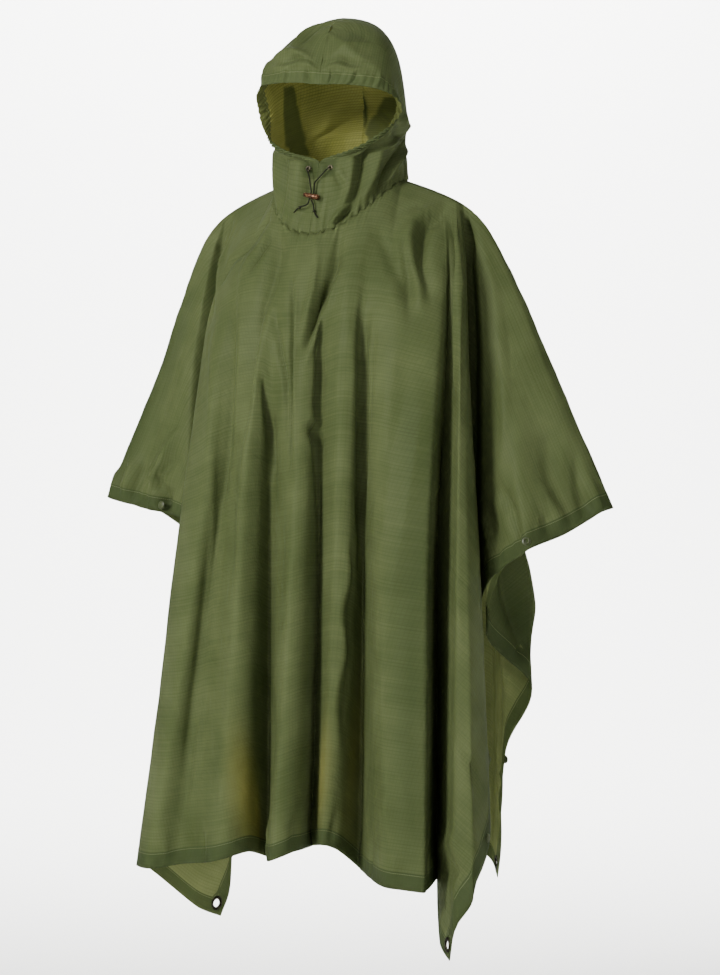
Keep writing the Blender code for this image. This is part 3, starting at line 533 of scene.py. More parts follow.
# The crests and troughs of each half, from the wearer's left to right. Columns: name, place
# along the top line, chest x and y, foot x, y and z, all in millimetres, rounding and bow.
FRONT_FOLDS = (
    ("arm_fold", 308, 348, 0, 455, 0, -503, 0.1, 0.0),
    ("arm_front", 304, 343, -14, 444, -18, -509, 0.16, 0.0),
    ("wing", 300, 318, -34, 400, -50, -541, 0.2, 0.0),
    ("wing_inner", 296, 294, -46, 352, -105, -570, 0.2, 0.0),
    ("wing_lip", 291, 265, -45, 266, -52, -632, 0.25, 0.1),
    ("side_trough", 287, 234, -8, 236, -18, -720, 0.3, 0.0),
    ("side_return", 283, 219, -20, 222, -34, -820, 0.35, 0.0),
    ("edge_return", 278, 242, -55, 288, -80, -940, 0.4, 0.3),
    ("edge_low", 274, 254, -88, 305, -122, -1008, 0.45, 0.4),
    ("edge_turn", 271, 258, -106, 308, -178, -1070, 0.45, 0.2),
    ("left_corner_side", 268, 258, -125, 282, -184, -1116, 0.45, 0.0),
    ("left_corner", 265, 250, -117, 266, -170, -1167, 0.45, 0.0),
    ("left_corner_hem", 261, 242, -110, 237, -140, -1150, 0.45, 0.0),
    ("left_trough", 249, 208, -94, 196, -66, -1062, 0.45, -0.2),
    ("left_crest", 233, 224, -158, 237, -196, -1066, 0.45, -0.4),
    ("broad_crest", 196, 150, -168, 183, -202, -1062, 0.45, -0.4),
    ("inner_trough", 130, 108, -131, 68, -69, -1056, 0.45, -0.4),
    ("inner_shoulder", 108, 102, -155, 59, -134, -1019, 0.45, -0.4),
    ("inner_crest", 90, 83, -164, 43, -149, -1012, 0.45, -0.4),
    ("middle_trough", 54, 37, -138, 3, -106, -1020, 0.45, -0.4),
    ("middle_shoulder", 38, 34, -160, 15, -176, -1019, 0.45, -0.4),
    ("middle_crest", 18, 19, -174, -12, -208, -1032, 0.45, -0.4),
    ("right_trough", -42, -49, -142, -92, -69, -1047, 0.45, -0.4),
    ("right_shoulder", -64, -57, -159, -97, -130, -1032, 0.45, -0.4),
    ("right_crest", -90, -69, -171, -135, -161, -1045, 0.45, -0.4),
    ("outer_trough", -150, -122, -127, -228, -112, -1061, 0.45, -0.4),
    ("outer_crest", -200, -142, -150, -272, -135, -1068, 0.45, -0.4),
    ("right_turn", -240, -205, -108, -322, -80, -1068, 0.45, -0.2),
    ("right_corner_hem", -257, -212, -62, -246, -22, -1142, 0.4, 0.0),
    ("right_corner", -262, -208, -52, -231, 22, -1160, 0.4, 0.0),
    ("right_corner_side", -266, -204, -42, -222, 38, -1113, 0.4, 0.0),
    ("edge_low_right", -271, -200, -26, -212, 34, -980, 0.4, 0.0),
    ("edge_return_right", -277, -198, -10, -192, 36, -770, 0.35, 0.0),
    ("side_trough_right", -284, -222, -6, -236, -2, -640, 0.3, 0.0),
    ("wing_lip_right", -290, -250, -40, -252, -56, -526, 0.22, 0.0),
    ("wing_right", -298, -298, -32, -345, -38, -504, 0.18, 0.0),
    ("arm_front_right", -304, -318, -14, -420, -16, -487, 0.16, 0.0),
    ("arm_fold_right", -308, -323, 0, -425.5, 0, -480, 0.15, 0.0),
)
BACK_FOLDS = (
    ("arm_fold", 308, 348, 0, 455, 0, -503, 0.1, 0.0),
    ("arm_back", 304, 336, 26, 428, 36, -500, 0.16, 0.0),
    ("wing", 300, 312, 58, 370, 85, -520, 0.2, 0.0),
    ("wing_lip", 296, 285, 75, 318, 112, -545, 0.22, 0.0),
    ("side_trough", 291, 258, 28, 268, 34, -585, 0.25, 0.0),
    ("side_return", 285, 236, 30, 242, 8, -690, 0.3, 0.0),
    ("edge_out", 278, 248, 66, 284, 90, -785, 0.35, 0.45),
    ("edge_in", 271, 231, 75, 238, 92, -884, 0.4, 0.0),
    ("left_corner_side", 266, 228, 87, 222, 109, -1040, 0.45, 0.0),
    ("left_corner", 261, 221, 96, 208, 128, -1084, 0.45, 0.0),
    ("left_corner_hem", 256, 214, 105, 181, 163, -1061, 0.45, 0.0),
    ("left_trough", 240, 178, 82, 160, 112, -1030, 0.45, -0.2),
    ("left_crest", 212, 150, 132, 143, 212, -1032, 0.45, -0.4),
    ("inner_trough", 172, 108, 112, 90, 130, -1018, 0.45, -0.4),
    ("inner_crest", 125, 70, 145, 56, 226, -1020, 0.45, -0.4),
    ("middle_trough", 62, 30, 130, 12, 142, -1010, 0.45, -0.4),
    ("middle_crest", 10, -4, 150, -24, 236, -1016, 0.45, -0.4),
    ("right_trough", -50, -44, 130, -70, 140, -1012, 0.45, -0.4),
    ("right_crest", -110, -80, 146, -108, 222, -1022, 0.45, -0.4),
    ("far_trough", -165, -120, 112, -152, 122, -1026, 0.45, -0.4),
    ("far_crest", -205, -160, 126, -202, 196, -1036, 0.45, -0.4),
    ("outer_trough", -235, -190, 85, -238, 98, -1036, 0.45, -0.2),
    ("right_corner_hem", -253, -210, 94, -264, 116, -1079, 0.4, 0.0),
    ("right_corner", -258, -220, 99, -305, 140, -1095, 0.4, 0.0),
    ("right_corner_side", -262, -229, 104, -319, 148, -1048, 0.4, 0.0),
    ("edge_in_right", -268, -224, 76, -292, 92, -940, 0.4, 0.0),
    ("edge_out_right", -274, -240, 62, -300, 75, -800, 0.35, 0.3),
    ("side_return_right", -281, -223, 28, -235, 22, -690, 0.3, 0.0),
    ("side_trough_right", -287, -244, 24, -262, 30, -600, 0.25, 0.0),
    ("wing_lip_right", -294, -272, 68, -335, 108, -550, 0.2, 0.0),
    ("wing_right", -299, -294, 50, -380, 70, -508, 0.18, 0.0),
    ("arm_back_right", -304, -314, 28, -416, 30, -484, 0.16, 0.0),
    ("arm_fold_right", -308, -323, 0, -425.5, 0, -480, 0.15, 0.0),
)
FRONT, BACK = -1, 1
LENGTHS = slice(0, 6)


def top_line(run, face):
    """Places on the sheet's neck seam and shoulder fold, and the same places on the flat cut."""
    side = np.sign(run)
    past_neck = np.maximum(np.abs(run) - NECK_SEAM_RUN, 0.0)
    angle = np.minimum(np.abs(run) / NECK_SEAM_RUN, 1.0) * np.pi / 2
    depth, rise, bend = NECK_FRONT if face == FRONT else NECK_BACK
    out = np.cos(angle)
    place = np.stack([
        side * (NECK_HALF_WIDTH * np.sin(angle) + past_neck * SHOULDER_SPREAD),
        depth * out,
        NECK_SIDE_HEIGHT + rise * np.maximum(out, 0.0) ** bend
        - SHOULDER_FALL * past_neck - SHOULDER_BEND * past_neck ** 2,
    ], axis=-1)
    across = side * (NECK_HALF_WIDTH * np.sin(angle) + past_neck)
    return place, np.stack([across, face * NECK_CUT_DEPTH * out], axis=-1)


def fold_line(top, chest, soft_chest, foot, shape, share):
    """The fall of the cloth from the top line over the chest to the foot, at the given shares."""
    upper = np.clip(share / CHEST_SHARE, 0.0, 1.0)[:, None, None]
    lower = np.clip((share - CHEST_SHARE) / (1 - CHEST_SHARE), 0.0, 1.0)[:, None, None]
    rounding, bow = shape[:, :1], shape[:, 1:]
    out = (1 - rounding) * upper + rounding * np.sin(upper * np.pi / 2)
    fall = (1 - rounding) * upper + rounding * (1 - np.cos(upper * np.pi / 2))
    sway = lower + bow * lower * (1 - lower)
    ripe = np.clip((share[:, None, None] - FOLDS_BEGIN) / (FOLDS_FULL - FOLDS_BEGIN), 0.0, 1.0)
    flatter = (soft_chest - chest)[:, :2] * (1 - ripe ** 2 * (3 - 2 * ripe)) * out
    level = top[:, :2] + (chest[:, :2] - top[:, :2]) * out + (foot[:, :2] - chest[:, :2]) * sway
    level = level + flatter
    height = top[:, 2:] + (chest[:, 2:] - top[:, 2:]) * fall + (foot[:, 2:] - chest[:, 2:]) * lower
    return np.concatenate([level, height], axis=-1)


def edge_cut(foot, corners, face):
    """Where each foot lies on the edge of the flat cut."""
    run = running_length(foot)
    first, last = corners
    half_width, half_length = SHEET_WIDTH / 2, SHEET_LENGTH / 2
    across = np.interp(run, run[[first, last]], (half_width, -half_width))
    along = np.interp(run, run[[0, first, last, -1]], (0.0, half_length, half_length, 0.0))
    return np.stack([across, face * along], axis=-1)


def share_from_edge(top_cut, foot_cut, inside):
    """How far down each fold line it comes this close to the sheet's edge."""
    half = np.array([SHEET_WIDTH, SHEET_LENGTH]) / 2
    lacking = inside - (half - np.abs(foot_cut))
    travel = np.maximum(np.abs(foot_cut) - np.abs(top_cut), 1e-6)
    back = np.where(lacking > 0, lacking / travel, 0.0)
    return 1 - np.minimum(back.max(axis=-1), 0.2)


def hung_half(folds, face):
    """Grids of one half of the sheet: its places as hung, and the same on the flat cut."""
    names = [row[0] for row in folds]
    knots = np.array([row[1:] for row in folds])
    knots[:, LENGTHS] /= MILLIMETRES
    breaks = [names.index("left_corner"), names.index("right_corner")]
    dense = np.linspace(0, len(folds) - 1, TOP_SAMPLES)
    rough = smooth_rows(knots, dense)
    weight = FOOT_WEIGHT * running_length(rough[:, 3:6])
    weight += CHEST_WEIGHT * running_length(rough[:, 1:3])
    at = np.interp(np.linspace(0, weight[-1], SHEET_COLUMNS), weight, dense)
    corners = [int(np.abs(at - number).argmin()) for number in breaks]
    at[corners] = breaks
    smooth = smooth_rows(knots, at)
    foot = smooth_rows(knots[:, 3:6], at, breaks)
    run = smooth[:, 0]
    for neck_end in (-NECK_SEAM_RUN, NECK_SEAM_RUN):
        run[np.abs(run - neck_end).argmin()] = neck_end
    top, top_cut = top_line(run, face)
    chest = np.column_stack([smooth[:, 1:3], np.full(len(at), CHEST_HEIGHT)])
    body = np.clip((SOFT_HALF_WIDTH - np.abs(run)) / SOFT_FADE, 0.0, 1.0)[:, None]
    reach = np.exp(-((run[:, None] - run[None, :]) / SOFT_REACH) ** 2)
    blurred = reach @ chest / reach.sum(axis=1, keepdims=True)
    soft_chest = chest + (blurred - chest) * body
    shape = smooth[:, 6:8]
    foot_cut = edge_cut(foot, corners, face)

    share = np.linspace(0, 1, LINE_SAMPLES)
    length = running_length(fold_line(top, chest, soft_chest, foot, shape, share))
    edge_rows = np.array([share_from_edge(top_cut, foot_cut, inside) for inside in HEM_ROWS])
    stations = np.linspace(0, 1, SHEET_ROWS, endpoint=False)
    wanted = np.vstack([np.outer(stations, edge_rows[0]), edge_rows])
    points = np.empty(wanted.shape + (3,))
    for column in range(len(at)):
        shares = np.interp(wanted[:, column] * length[-1, column], length[:, column], share)
        one = slice(column, column + 1)
        line = fold_line(top[one], chest[one], soft_chest[one], foot[one], shape[one], shares)
        points[:, column] = line[:, 0]
    cut = top_cut + (foot_cut - top_cut) * wanted[..., None]
    return points, cut


def grid_normals(points, outward):
    """Outward normals of a grid of points."""
    down = np.gradient(points, axis=0)
    along = np.gradient(points, axis=1)
    return unit(np.cross(along, down)) * outward


def ruffled(cut, seed):
    """A soft uneven unrest in the cloth, from a few crossed waves: about -1 to 1."""
    total = np.zeros(cut.shape[:2])
    chance = np.random.default_rng(seed)
    for length, weight in ((0.19, 1.0), (0.11, 0.7), (0.062, 0.45), (0.037, 0.25)):
        for _ in range(4):
            turn = chance.uniform(-0.6, 0.6)
            wave = cut[..., 0] * np.cos(turn) * 1.5 + cut[..., 1] * np.sin(turn) * 0.7
            wave = wave * 2 * np.pi / length + chance.uniform(0, 6.28)
            swell = np.sin(cut[..., 1] * chance.uniform(4, 9) + chance.uniform(0, 6.28))
            total += weight * np.sin(wave + swell * 0.8) * (0.6 + 0.4 * swell)
    return total / 4.0


def gathered(seam, away, wide, fine, fade):
    """Uneven gathers along a seam, wide ones with fine ones between: about -1.6 to 1.6.

    Wide and fine give a wavelength and how it wavers, fade how far from the seam they die out.
    """
    waves = np.sin(seam * 2 * np.pi / wide[0] + wide[1] * np.sin(seam * wide[2]))
    waves += 0.6 * np.sin(seam * 2 * np.pi / fine[0] + fine[1] * np.sin(seam * fine[2]))
    return waves * np.exp(-away / (fade[0] + fade[1] * np.sin(seam * fade[2])))


# A stroke that leans falls away more slowly on one side than on the other.
LEANS = dict(near_bow=0.3)


def creased(cut, creases):
    """Soft ridges (+) and troughs (-), each a smooth stroke on the flat cut.

    A stroke has a name, a width in millimetres, a rise and a route in millimetres. What comes
    back is in the rise's own unit.
    """
    height = np.zeros(cut.shape[:2])
    for name, width, rise, route in creases:
        width = width / MILLIMETRES
        lean = LEANS.get(name, 0.0)
        knots = np.array(route) / MILLIMETRES
        line = smooth_rows(knots, np.linspace(0, len(knots) - 1, 6 * len(knots)))
        low, high = line.min(axis=0) - 4 * width, line.max(axis=0) + 4 * width
        close = ((cut > low) & (cut < high)).all(axis=-1)
        start, step = line[:-1], np.diff(line, axis=0)
        local = cut[close][:, None] - start
        part = np.clip((local * step).sum(axis=-1) / (step ** 2).sum(axis=-1), 0, 1)
        off = local - part[..., None] * step
        distance = np.linalg.norm(off, axis=-1)
        best = distance.argmin(axis=1)
        rows = np.arange(len(best))
        share = (best + part[rows, best]) / len(step)
        side = np.sign(step[best, 0] * off[rows, best, 1] - step[best, 1] * off[rows, best, 0])
        reach = width * (1 + lean * side)
        fade = np.sqrt(np.sin((0.03 + 0.94 * share) * np.pi))
        height[close] += rise * fade * np.exp(-(distance[rows, best] / reach) ** 1.5)
    return height


SHOULDER_ROUNDING = 0.03
# Where the corner is, which way is inward, and how deep it is rounded off.
SHOULDER_CORNERS = (
    ((0.236, 0.0, -0.047), (-0.695, 0.0, -0.719), 0.0106),
    ((-0.236, 0.0, -0.047), (0.73, 0.0, -0.685), 0.0120),
)


def softened_shoulders(points):
    """Rounds the corner where the shoulder fold turns down over each arm."""
    rounded = points.copy()
    for corner, inward, depth in SHOULDER_CORNERS:
        away = np.linalg.norm(points - np.array(corner), axis=-1, keepdims=True)
        rounded += np.array(inward) * depth * np.exp(-away / SHOULDER_ROUNDING)
    return rounded


def grid_piece(name, points, layout, *materials):
    """A sheet of four-sided faces from a grid, with its flat cut in metres as the UV map."""
    rows, columns = points.shape[:2]
    number = np.arange(rows * columns).reshape(rows, columns)
    faces = np.stack([number[:-1, :-1], number[1:, :-1], number[1:, 1:], number[:-1, 1:]], axis=-1)
    faces = faces.reshape(-1, 4)
    made = add_mesh(name, points.reshape(-1, 3), faces.tolist(), *materials)
    uv = made.data.uv_layers.new(name="cut")
    flat = layout.reshape(-1, 2)[faces.ravel()]
    uv.data.foreach_set("uv", flat.astype(np.float32).ravel())
    return made


def painted(piece, name, values):
    """One number for each point of a piece, that its material reads."""
    attribute = piece.data.attributes.new(name, "FLOAT", "POINT")
    attribute.data.foreach_set("value", values.astype(np.float32).ravel())


# Each sheet's wall has the second material on its inner side.
WALL = dict(thickness=CLOTH_THICKNESS, offset=0.0, material_offset=1, material_offset_rim=0)
RIPSTOP_CELL = 0.005
STITCH_LENGTH = 0.0025
STITCH_INSIDE = 0.0025


def ripstop(name, ground, thread, hem, band=HEM_WIDTH, band_strength=0.8, glow=0.0,
            grid_strength=0.30, shade_attribute="painted_shade"):
    """Coated ripstop nylon: plain weave with a doubled thread every 5 mm both ways.

    Ground, thread and hem are colours, and band is how wide the turned hem or casing is.
    """
    made = new_material(name, Roughness=0.50, Specular_IOR_Level=0.05)
    uv = add_node(made, "UVMap", {"uv_map": "cut"})
    split = add_node(made, "SeparateXYZ", inputs={"Vector": uv.outputs["UV"]})
    lines = []
    for axis, weight in (("X", 0.6), ("Y", 1.0)):
        fold = add_node(made, "Math", {"operation": "PINGPONG"}, {
            0: split.outputs[axis], 1: RIPSTOP_CELL / 2,
        })
        lines.append(add_node(made, "MapRange", inputs={
            "Value": fold.outputs["Value"], "From Min": 0.0, "From Max": 0.0008,
            "To Min": weight, "To Max": 0.0,
        }))
    grid = add_node(made, "Math", {"operation": "MAXIMUM"}, {
        0: lines[0].outputs["Result"], 1: lines[1].outputs["Result"],
    })
    # Weft streaks: yarns vary a little, which shows as faint lines across the cloth.
    stretch = add_node(made, "Mapping", inputs={
        "Vector": uv.outputs["UV"], "Scale": (5.0, 320.0, 1.0),
    })
    streak = add_node(made, "TexNoise", inputs={
        "Vector": stretch.outputs["Vector"], "Scale": 1.0, "Detail": 2.0,
    })
    cloud = add_node(made, "TexNoise", inputs={
        "Vector": uv.outputs["UV"], "Scale": 9.0, "Detail": 3.0,
    })
    tone = add_node(made, "Math", {"operation": "MULTIPLY_ADD"}, {
        0: streak.outputs["Fac"], 1: 0.45, 2: cloud.outputs["Fac"],
    })
    colour = add_node(made, "ValToRGB", inputs={"Fac": tone.outputs["Value"]})
    for stop, position, code in zip(colour.color_ramp.elements, (0.5, 1.0), (thread, ground)):
        stop.position = position
        stop.color = to_linear(code)
    strength = add_node(made, "Math", {"operation": "MULTIPLY"}, {
        0: grid.outputs["Value"], 1: grid_strength,
    })
    woven = add_node(made, "Mix", {"data_type": "RGBA", "blend_type": "MULTIPLY"}, {
        0: strength.outputs["Value"], 6: colour.outputs["Color"], 7: to_linear("#B0B0A0"),
    })
    backlit, painted_shade, edge = [
        add_node(made, "Attribute", {"attribute_name": attribute})
        for attribute in ("backlit", shade_attribute, "from_edge")
    ]
    doubled = add_node(made, "MapRange", inputs={
        "Value": edge.outputs["Fac"], "From Min": band, "From Max": band + 0.0006,
        "To Min": band_strength, "To Max": 0.0,
    })
    # One row of lockstitch 2.5 mm inside the fold's edge, four stitches to 10 mm.
    beside = add_node(made, "Math", {"operation": "SUBTRACT"}, {
        0: edge.outputs["Fac"], 1: band - STITCH_INSIDE,
    })
    off = add_node(made, "Math", {"operation": "ABSOLUTE"}, {0: beside.outputs["Value"]})
    row = add_node(made, "MapRange", inputs={
        "Value": off.outputs["Value"], "From Min": 0.0002, "From Max": 0.0006,
        "To Min": 1.0, "To Max": 0.0,
    })
    far = add_node(made, "Math", {"operation": "ADD"}, {
        0: split.outputs["X"], 1: split.outputs["Y"],
    })
    stitch = add_node(made, "Math", {"operation": "PINGPONG"}, {
        0: far.outputs["Value"], 1: STITCH_LENGTH / 2,
    })
    dash = add_node(made, "MapRange", inputs={
        "Value": stitch.outputs["Value"], "From Min": 0.0002, "From Max": 0.0004,
    })
    sewn = add_node(made, "Math", {"operation": "MULTIPLY"}, {
        0: row.outputs["Result"], 1: dash.outputs["Result"],
    })
    # Laid over the weave in turn: painted light through the cloth; painted shade, plain dark
    # green; the turned hem or casing, darker because it is double; its stitches.
    result = woven.outputs[2]
    for amount, code in (
        (backlit.outputs["Fac"], "#8C8745"), (painted_shade.outputs["Fac"], "#2E3A1E"),
        (doubled.outputs["Result"], hem), (sewn.outputs["Value"], "#6E7650"),
    ):
        layer = add_node(made, "Mix", {"data_type": "RGBA"}, {
            0: amount, 6: result, 7: to_linear(code),
        })
        result = layer.outputs[2]
    feed(made, "Base Color", result)
    # The crinkle of coated cloth: shallow facets 15 to 60 mm wide, finer ones between them.
    crinkle = add_node(made, "TexNoise", inputs={
        "Vector": uv.outputs["UV"], "Scale": 26.0, "Detail": 5.0, "Roughness": 0.55,
        "Distortion": 0.8,
    })
    bump = add_node(made, "Bump", inputs={
        "Strength": 0.55, "Distance": 0.0034, "Height": crinkle.outputs["Fac"],
    })
    weave = add_node(made, "Bump", inputs={
        "Strength": 0.3, "Distance": 0.0002, "Height": grid.outputs["Value"],
        "Normal": bump.outputs["Normal"],
    })
    feed(made, "Normal", weave.outputs["Normal"])
    if glow:
        feed(made, "Emission Color", result)
        made.node_tree.nodes["Principled BSDF"].inputs["Emission Strength"].default_value = glow
    return made


# The outer face is matt olive, and hardly mirrors the lights. The inner face is painted
# yellower and lighter, with a painted glow, for the light that comes through the thin cloth.
sheet_outer = ripstop("ripstop_nylon_olive", "#5F6843", "#4B5532", "#3D482B")
sheet_inner = ripstop("ripstop_coated_inside", "#757C4E", "#5E663E", "#3A4527", glow=0.31)

# Creases of the front: name, width, rise, and a route on its cut, in millimetres from the
# middle and down from the shoulder line. Names with far in them are on the wearer's right.
FRONT_CREASES = (
    ("chest_line_shade", 5, -7.1, ((-29, 190), (-24, 283), (-26, 389), (-32, 470))),
    ("chest_line_light", 5, 3.6, ((-17, 190), (-13, 283), (-15, 389), (-21, 470))),
    ("leaf_trough", 10, -11.6, ((46, 112), (56, 178), (40, 226), (22, 270), (4, 306))),
    ("leaf_lip", 7, 6.5, ((68, 180), (56, 226), (36, 272), (10, 318))),
    ("leaf_left_lip", 6, 5.6, ((12, 120), (22, 180), (12, 240), (-2, 290))),
    ("far_ridge", 11, 4.6, (
        (-84, 100), (-118, 140), (-158, 162), (-170, 225), (-181, 295), (-210, 400))),
    ("far_hollow", 26, -13.2, (
        (-66, 105), (-68, 150), (-92, 202), (-128, 256), (-152, 330), (-172, 420))),
    ("far_line_a", 6, -9, ((-100, 90), (-150, 118), (-184, 128), (-199, 150))),
    ("far_line_b", 5, -7.8, ((-84, 118), (-119, 150), (-146, 166))),
    ("far_shoulder_dark", 8, -9.6, ((-212, 18), (-226, 65), (-236, 105), (-234, 160))),
    ("inner_line", 6, -7.1, ((-68, 245), (-58, 300), (-46, 345), (-46, 410))),
    ("onset_far", 10, -9.3, ((-112, 345), (-104, 400), (-100, 480))),
    ("middle_shade", 10, -9.6, ((50, 225), (43, 290), (46, 335), (40, 400), (36, 480))),
    ("near_line", 5, -7.4, ((148, 120), (161, 156), (178, 190), (190, 222))),
    ("near_line_light", 6, 5.6, ((160, 122), (173, 156), (190, 188), (202, 222))),
    ("near_soft", 10, -7.1, ((110, 122), (146, 168), (172, 197), (198, 244))),
    ("far_upright", 10, -7, ((-265, 30), (-250, 100), (-238, 210))),
    ("far_upright_light", 10, 5, ((-240, 28), (-222, 100), (-206, 210))),
    ("near_seam_1", 6, -4, ((112, 88), (133, 66), (150, 44))),
    ("near_seam_2", 6, -4.5, ((132, 98), (161, 68), (186, 41))),
    ("near_bow", 10, -12.1, ((194, 44), (170, 88), (180, 145), (204, 192))),
    ("near_bow_lip", 10, 7.8, ((178, 38), (152, 88), (162, 160))),
    ("near_pleat", 6, -6.5, ((212, 50), (249, 114), (289, 209), (329, 297))),
    ("near_pleat_lip", 8, 6.5, ((224, 50), (262, 110), (302, 205), (342, 295))),
    ("near_pleat_second", 6, -4.5, ((222, 34), (258, 90), (276, 130))),
    ("near_pleat_third", 8, -6, ((236, 12), (262, 30), (290, 48))),
    ("chest_light", 22, 4.5, ((78, 170), (94, 280), (112, 360))),
    ("outer_line", 7, -5.5, (
        (-160, 155), (-198, 310), (-244, 460), (-290, 580), (-330, 720), (-366, 870))),
    ("outer_thin_ridge", 8, 5, ((-262, 510), (-325, 710), (-362, 830), (-388, 930), (-424, 1020))),
    ("outer_thin_shade", 6, -3.5, ((-282, 510), (-345, 710), (-384, 830), (-412, 930))),
    ("side_light", 12, 4, ((-215, 240), (-262, 420), (-300, 600), (-345, 800))),
    ("ridge_h", 14, 4.5, ((-85, 240), (-142, 360), (-200, 540), (-240, 720))),
    ("crumple", 8, -8.5, ((8, 422), (32, 432), (52, 446))),
    ("crumple_lip", 8, 5, ((6, 404), (32, 412), (58, 428))),
    ("crumple_tail", 7, -3.5, ((50, 446), (42, 500), (50, 570))),
    ("edge_crumple", 6, 4.2, (
        (110, 600), (118, 650), (110, 700), (121, 760), (114, 830), (124, 910))),
    ("edge_crumple_shade", 6, -3.5, (
        (122, 610), (130, 660), (123, 710), (134, 770), (128, 840), (137, 900))),
    ("wedge_start", 11, -11.1, ((120, 256), (127, 310), (136, 390), (142, 560))),
    ("wedge_line", 5, -4.7, ((150, 280), (158, 400), (150, 520), (146, 620))),
    ("broad_dimple", 16, -3, ((215, 300), (235, 420), (240, 560))),
    ("broad_line", 8, 2.2, ((250, 360), (290, 580), (318, 820))),
    ("far_wing_bend", 34, -10, ((-340, 45), (-500, 80), (-690, 85))),
    ("far_wing_crumple", 9, 6, ((-600, 150), (-660, 130), (-705, 135))),
    ("far_wing_crumple_2", 8, -6.5, ((-640, 170), (-680, 150), (-715, 160))),
    ("near_wing_soft", 30, -4, ((340, 20), (500, 85), (640, 170))),
    ("near_wing_line", 10, 2.5, ((420, 75), (540, 130), (650, 210))),
    ("near_wing_low", 12, -4, ((600, 60), (655, 85), (710, 90))),
    ("near_edge_bend", 12, -5, ((640, 250), (680, 240), (725, 255))),
    ("far_hem_1", 8, 9.7, ((-660, 46), (-700, 62), (-737, 50))),
    ("far_hem_2", 9, -12, ((-672, 92), (-708, 118), (-737, 106))),
    ("far_hem_3", 8, 10.5, ((-664, 138), (-704, 134), (-737, 150))),
    ("far_hem_4", 9, -10.5, ((-690, 150), (-716, 176), (-737, 196))),
    ("near_hem_1", 10, -7.5, ((650, 30), (700, 48), (737, 44))),
    ("near_hem_2", 10, 6.7, ((664, 112), (706, 104), (737, 118))),
    ("near_hem_3", 12, -9, ((628, 196), (680, 182), (737, 196))),
    ("near_hem_4", 10, 7.5, ((640, 270), (694, 262), (737, 282))),
    ("corner_bend", 14, -5, ((640, 980), (690, 930), (735, 900))),
    ("corner_bend_light", 12, 4.5, ((600, 960), (660, 900), (720, 850))),
    ("pipe_crumple", 8, -4, ((600, 750), (640, 760), (680, 800))),
)
# The hem's own puckers, where the turned cloth is a little too full. Columns, in millimetres:
# across and down where one starts, across and down where it ends, rise.
FRONT_PUCKERS = (
    (-700, 1000, -690, 1056, 3), (-560, 1012, -555, 1056, -3), (-455, 1000, -462, 1056, 3),
    (-372, 1010, -366, 1056, -3.5), (-305, 995, -312, 1056, 3), (-236, 1005, -230, 1056, -3),
    (-120, 1000, -112, 1056, 3), (-20, 1010, -26, 1056, -3.5), (60, 1000, 68, 1056, 3),
    (135, 990, 126, 1056, -3.5), (205, 1005, 214, 1056, 3), (300, 1000, 296, 1056, -3),
    (385, 1010, 392, 1056, 3), (470, 990, 462, 1056, -3), (-690, 22, -736, 34, 5),
    (-680, 44, -736, 52, -6), (-664, 66, -736, 76, 6.5), (-684, 86, -736, 96, -6.5),
    (-660, 112, -736, 116, 6.5), (-690, 132, -736, 138, -6), (-672, 156, -736, 158, 6),
    (-690, 184, -736, 180, -5), (690, 22, 736, 26, 4.5), (698, 52, 736, 60, -4.5),
    (690, 90, 736, 98, 4), (700, 130, 736, 128, -4), (690, 168, 736, 176, 4),
    (696, 212, 736, 218, -4), (680, 290, 736, 296, 3), (690, 540, 736, 548, -3),
    (690, 690, 736, 684, 3), (685, 930, 736, 940, -3), (-690, 520, -736, 512, 3),
    (-690, 760, -736, 770, -3),
)
BACK_CREASES = (
    ("left_diagonal", 12, 5.5, ((80, 95), (150, 125), (210, 175))),
    ("left_diagonal_shade", 10, -5.5, ((86, 118), (145, 150), (205, 215))),
    ("left_upright", 10, -5, ((215, 30), (225, 120), (240, 260))),
    ("right_diagonal", 12, 5.5, ((-85, 90), (-150, 118), (-220, 170))),
    ("right_diagonal_shade", 9, -5.5, ((-90, 112), (-150, 148), (-210, 220))),
    ("right_upright", 11, -6, ((-230, 30), (-236, 130), (-250, 300))),
    ("middle_line", 7, 3.5, ((22, 160), (30, 340), (20, 520))),
    ("middle_hollow", 18, -6, ((-30, 150), (-22, 240), (-34, 340))),
    ("middle_thin", 8, -3.5, ((-50, 420), (-62, 620), (-58, 840))),
    ("side_thin", 8, 4.5, ((250, 400), (300, 620), (330, 860))),
    ("far_thin", 8, 4.5, ((-250, 380), (-330, 640), (-380, 900))),
    ("crumple", 9, -6, ((120, 520), (140, 530), (165, 550))),
    ("crumple_lip", 8, 4.5, ((118, 500), (142, 508), (170, 530))),
    ("edge_fold_1", 14, -12.1, ((600, 420), (660, 500), (715, 600))),
    ("edge_fold_2", 12, 9.5, ((600, 480), (655, 560), (700, 660))),
    ("edge_fold_3", 12, -9.5, ((570, 560), (630, 640), (700, 720))),
    ("edge_fold_4", 10, 8.1, ((560, 640), (620, 710), (690, 800))),
    ("edge_fold_5", 10, -5, ((640, 800), (680, 860), (735, 930))),
    ("right_edge_fold", 14, -7, ((-600, 460), (-660, 550), (-715, 660))),
    ("right_edge_light", 12, 6, ((-590, 540), (-650, 630), (-700, 730))),
    ("left_wing_bend", 30, -7, ((340, 35), (500, 75), (690, 80))),
    ("right_wing_bend", 30, -7, ((-340, 40), (-500, 70), (-690, 90))),
)
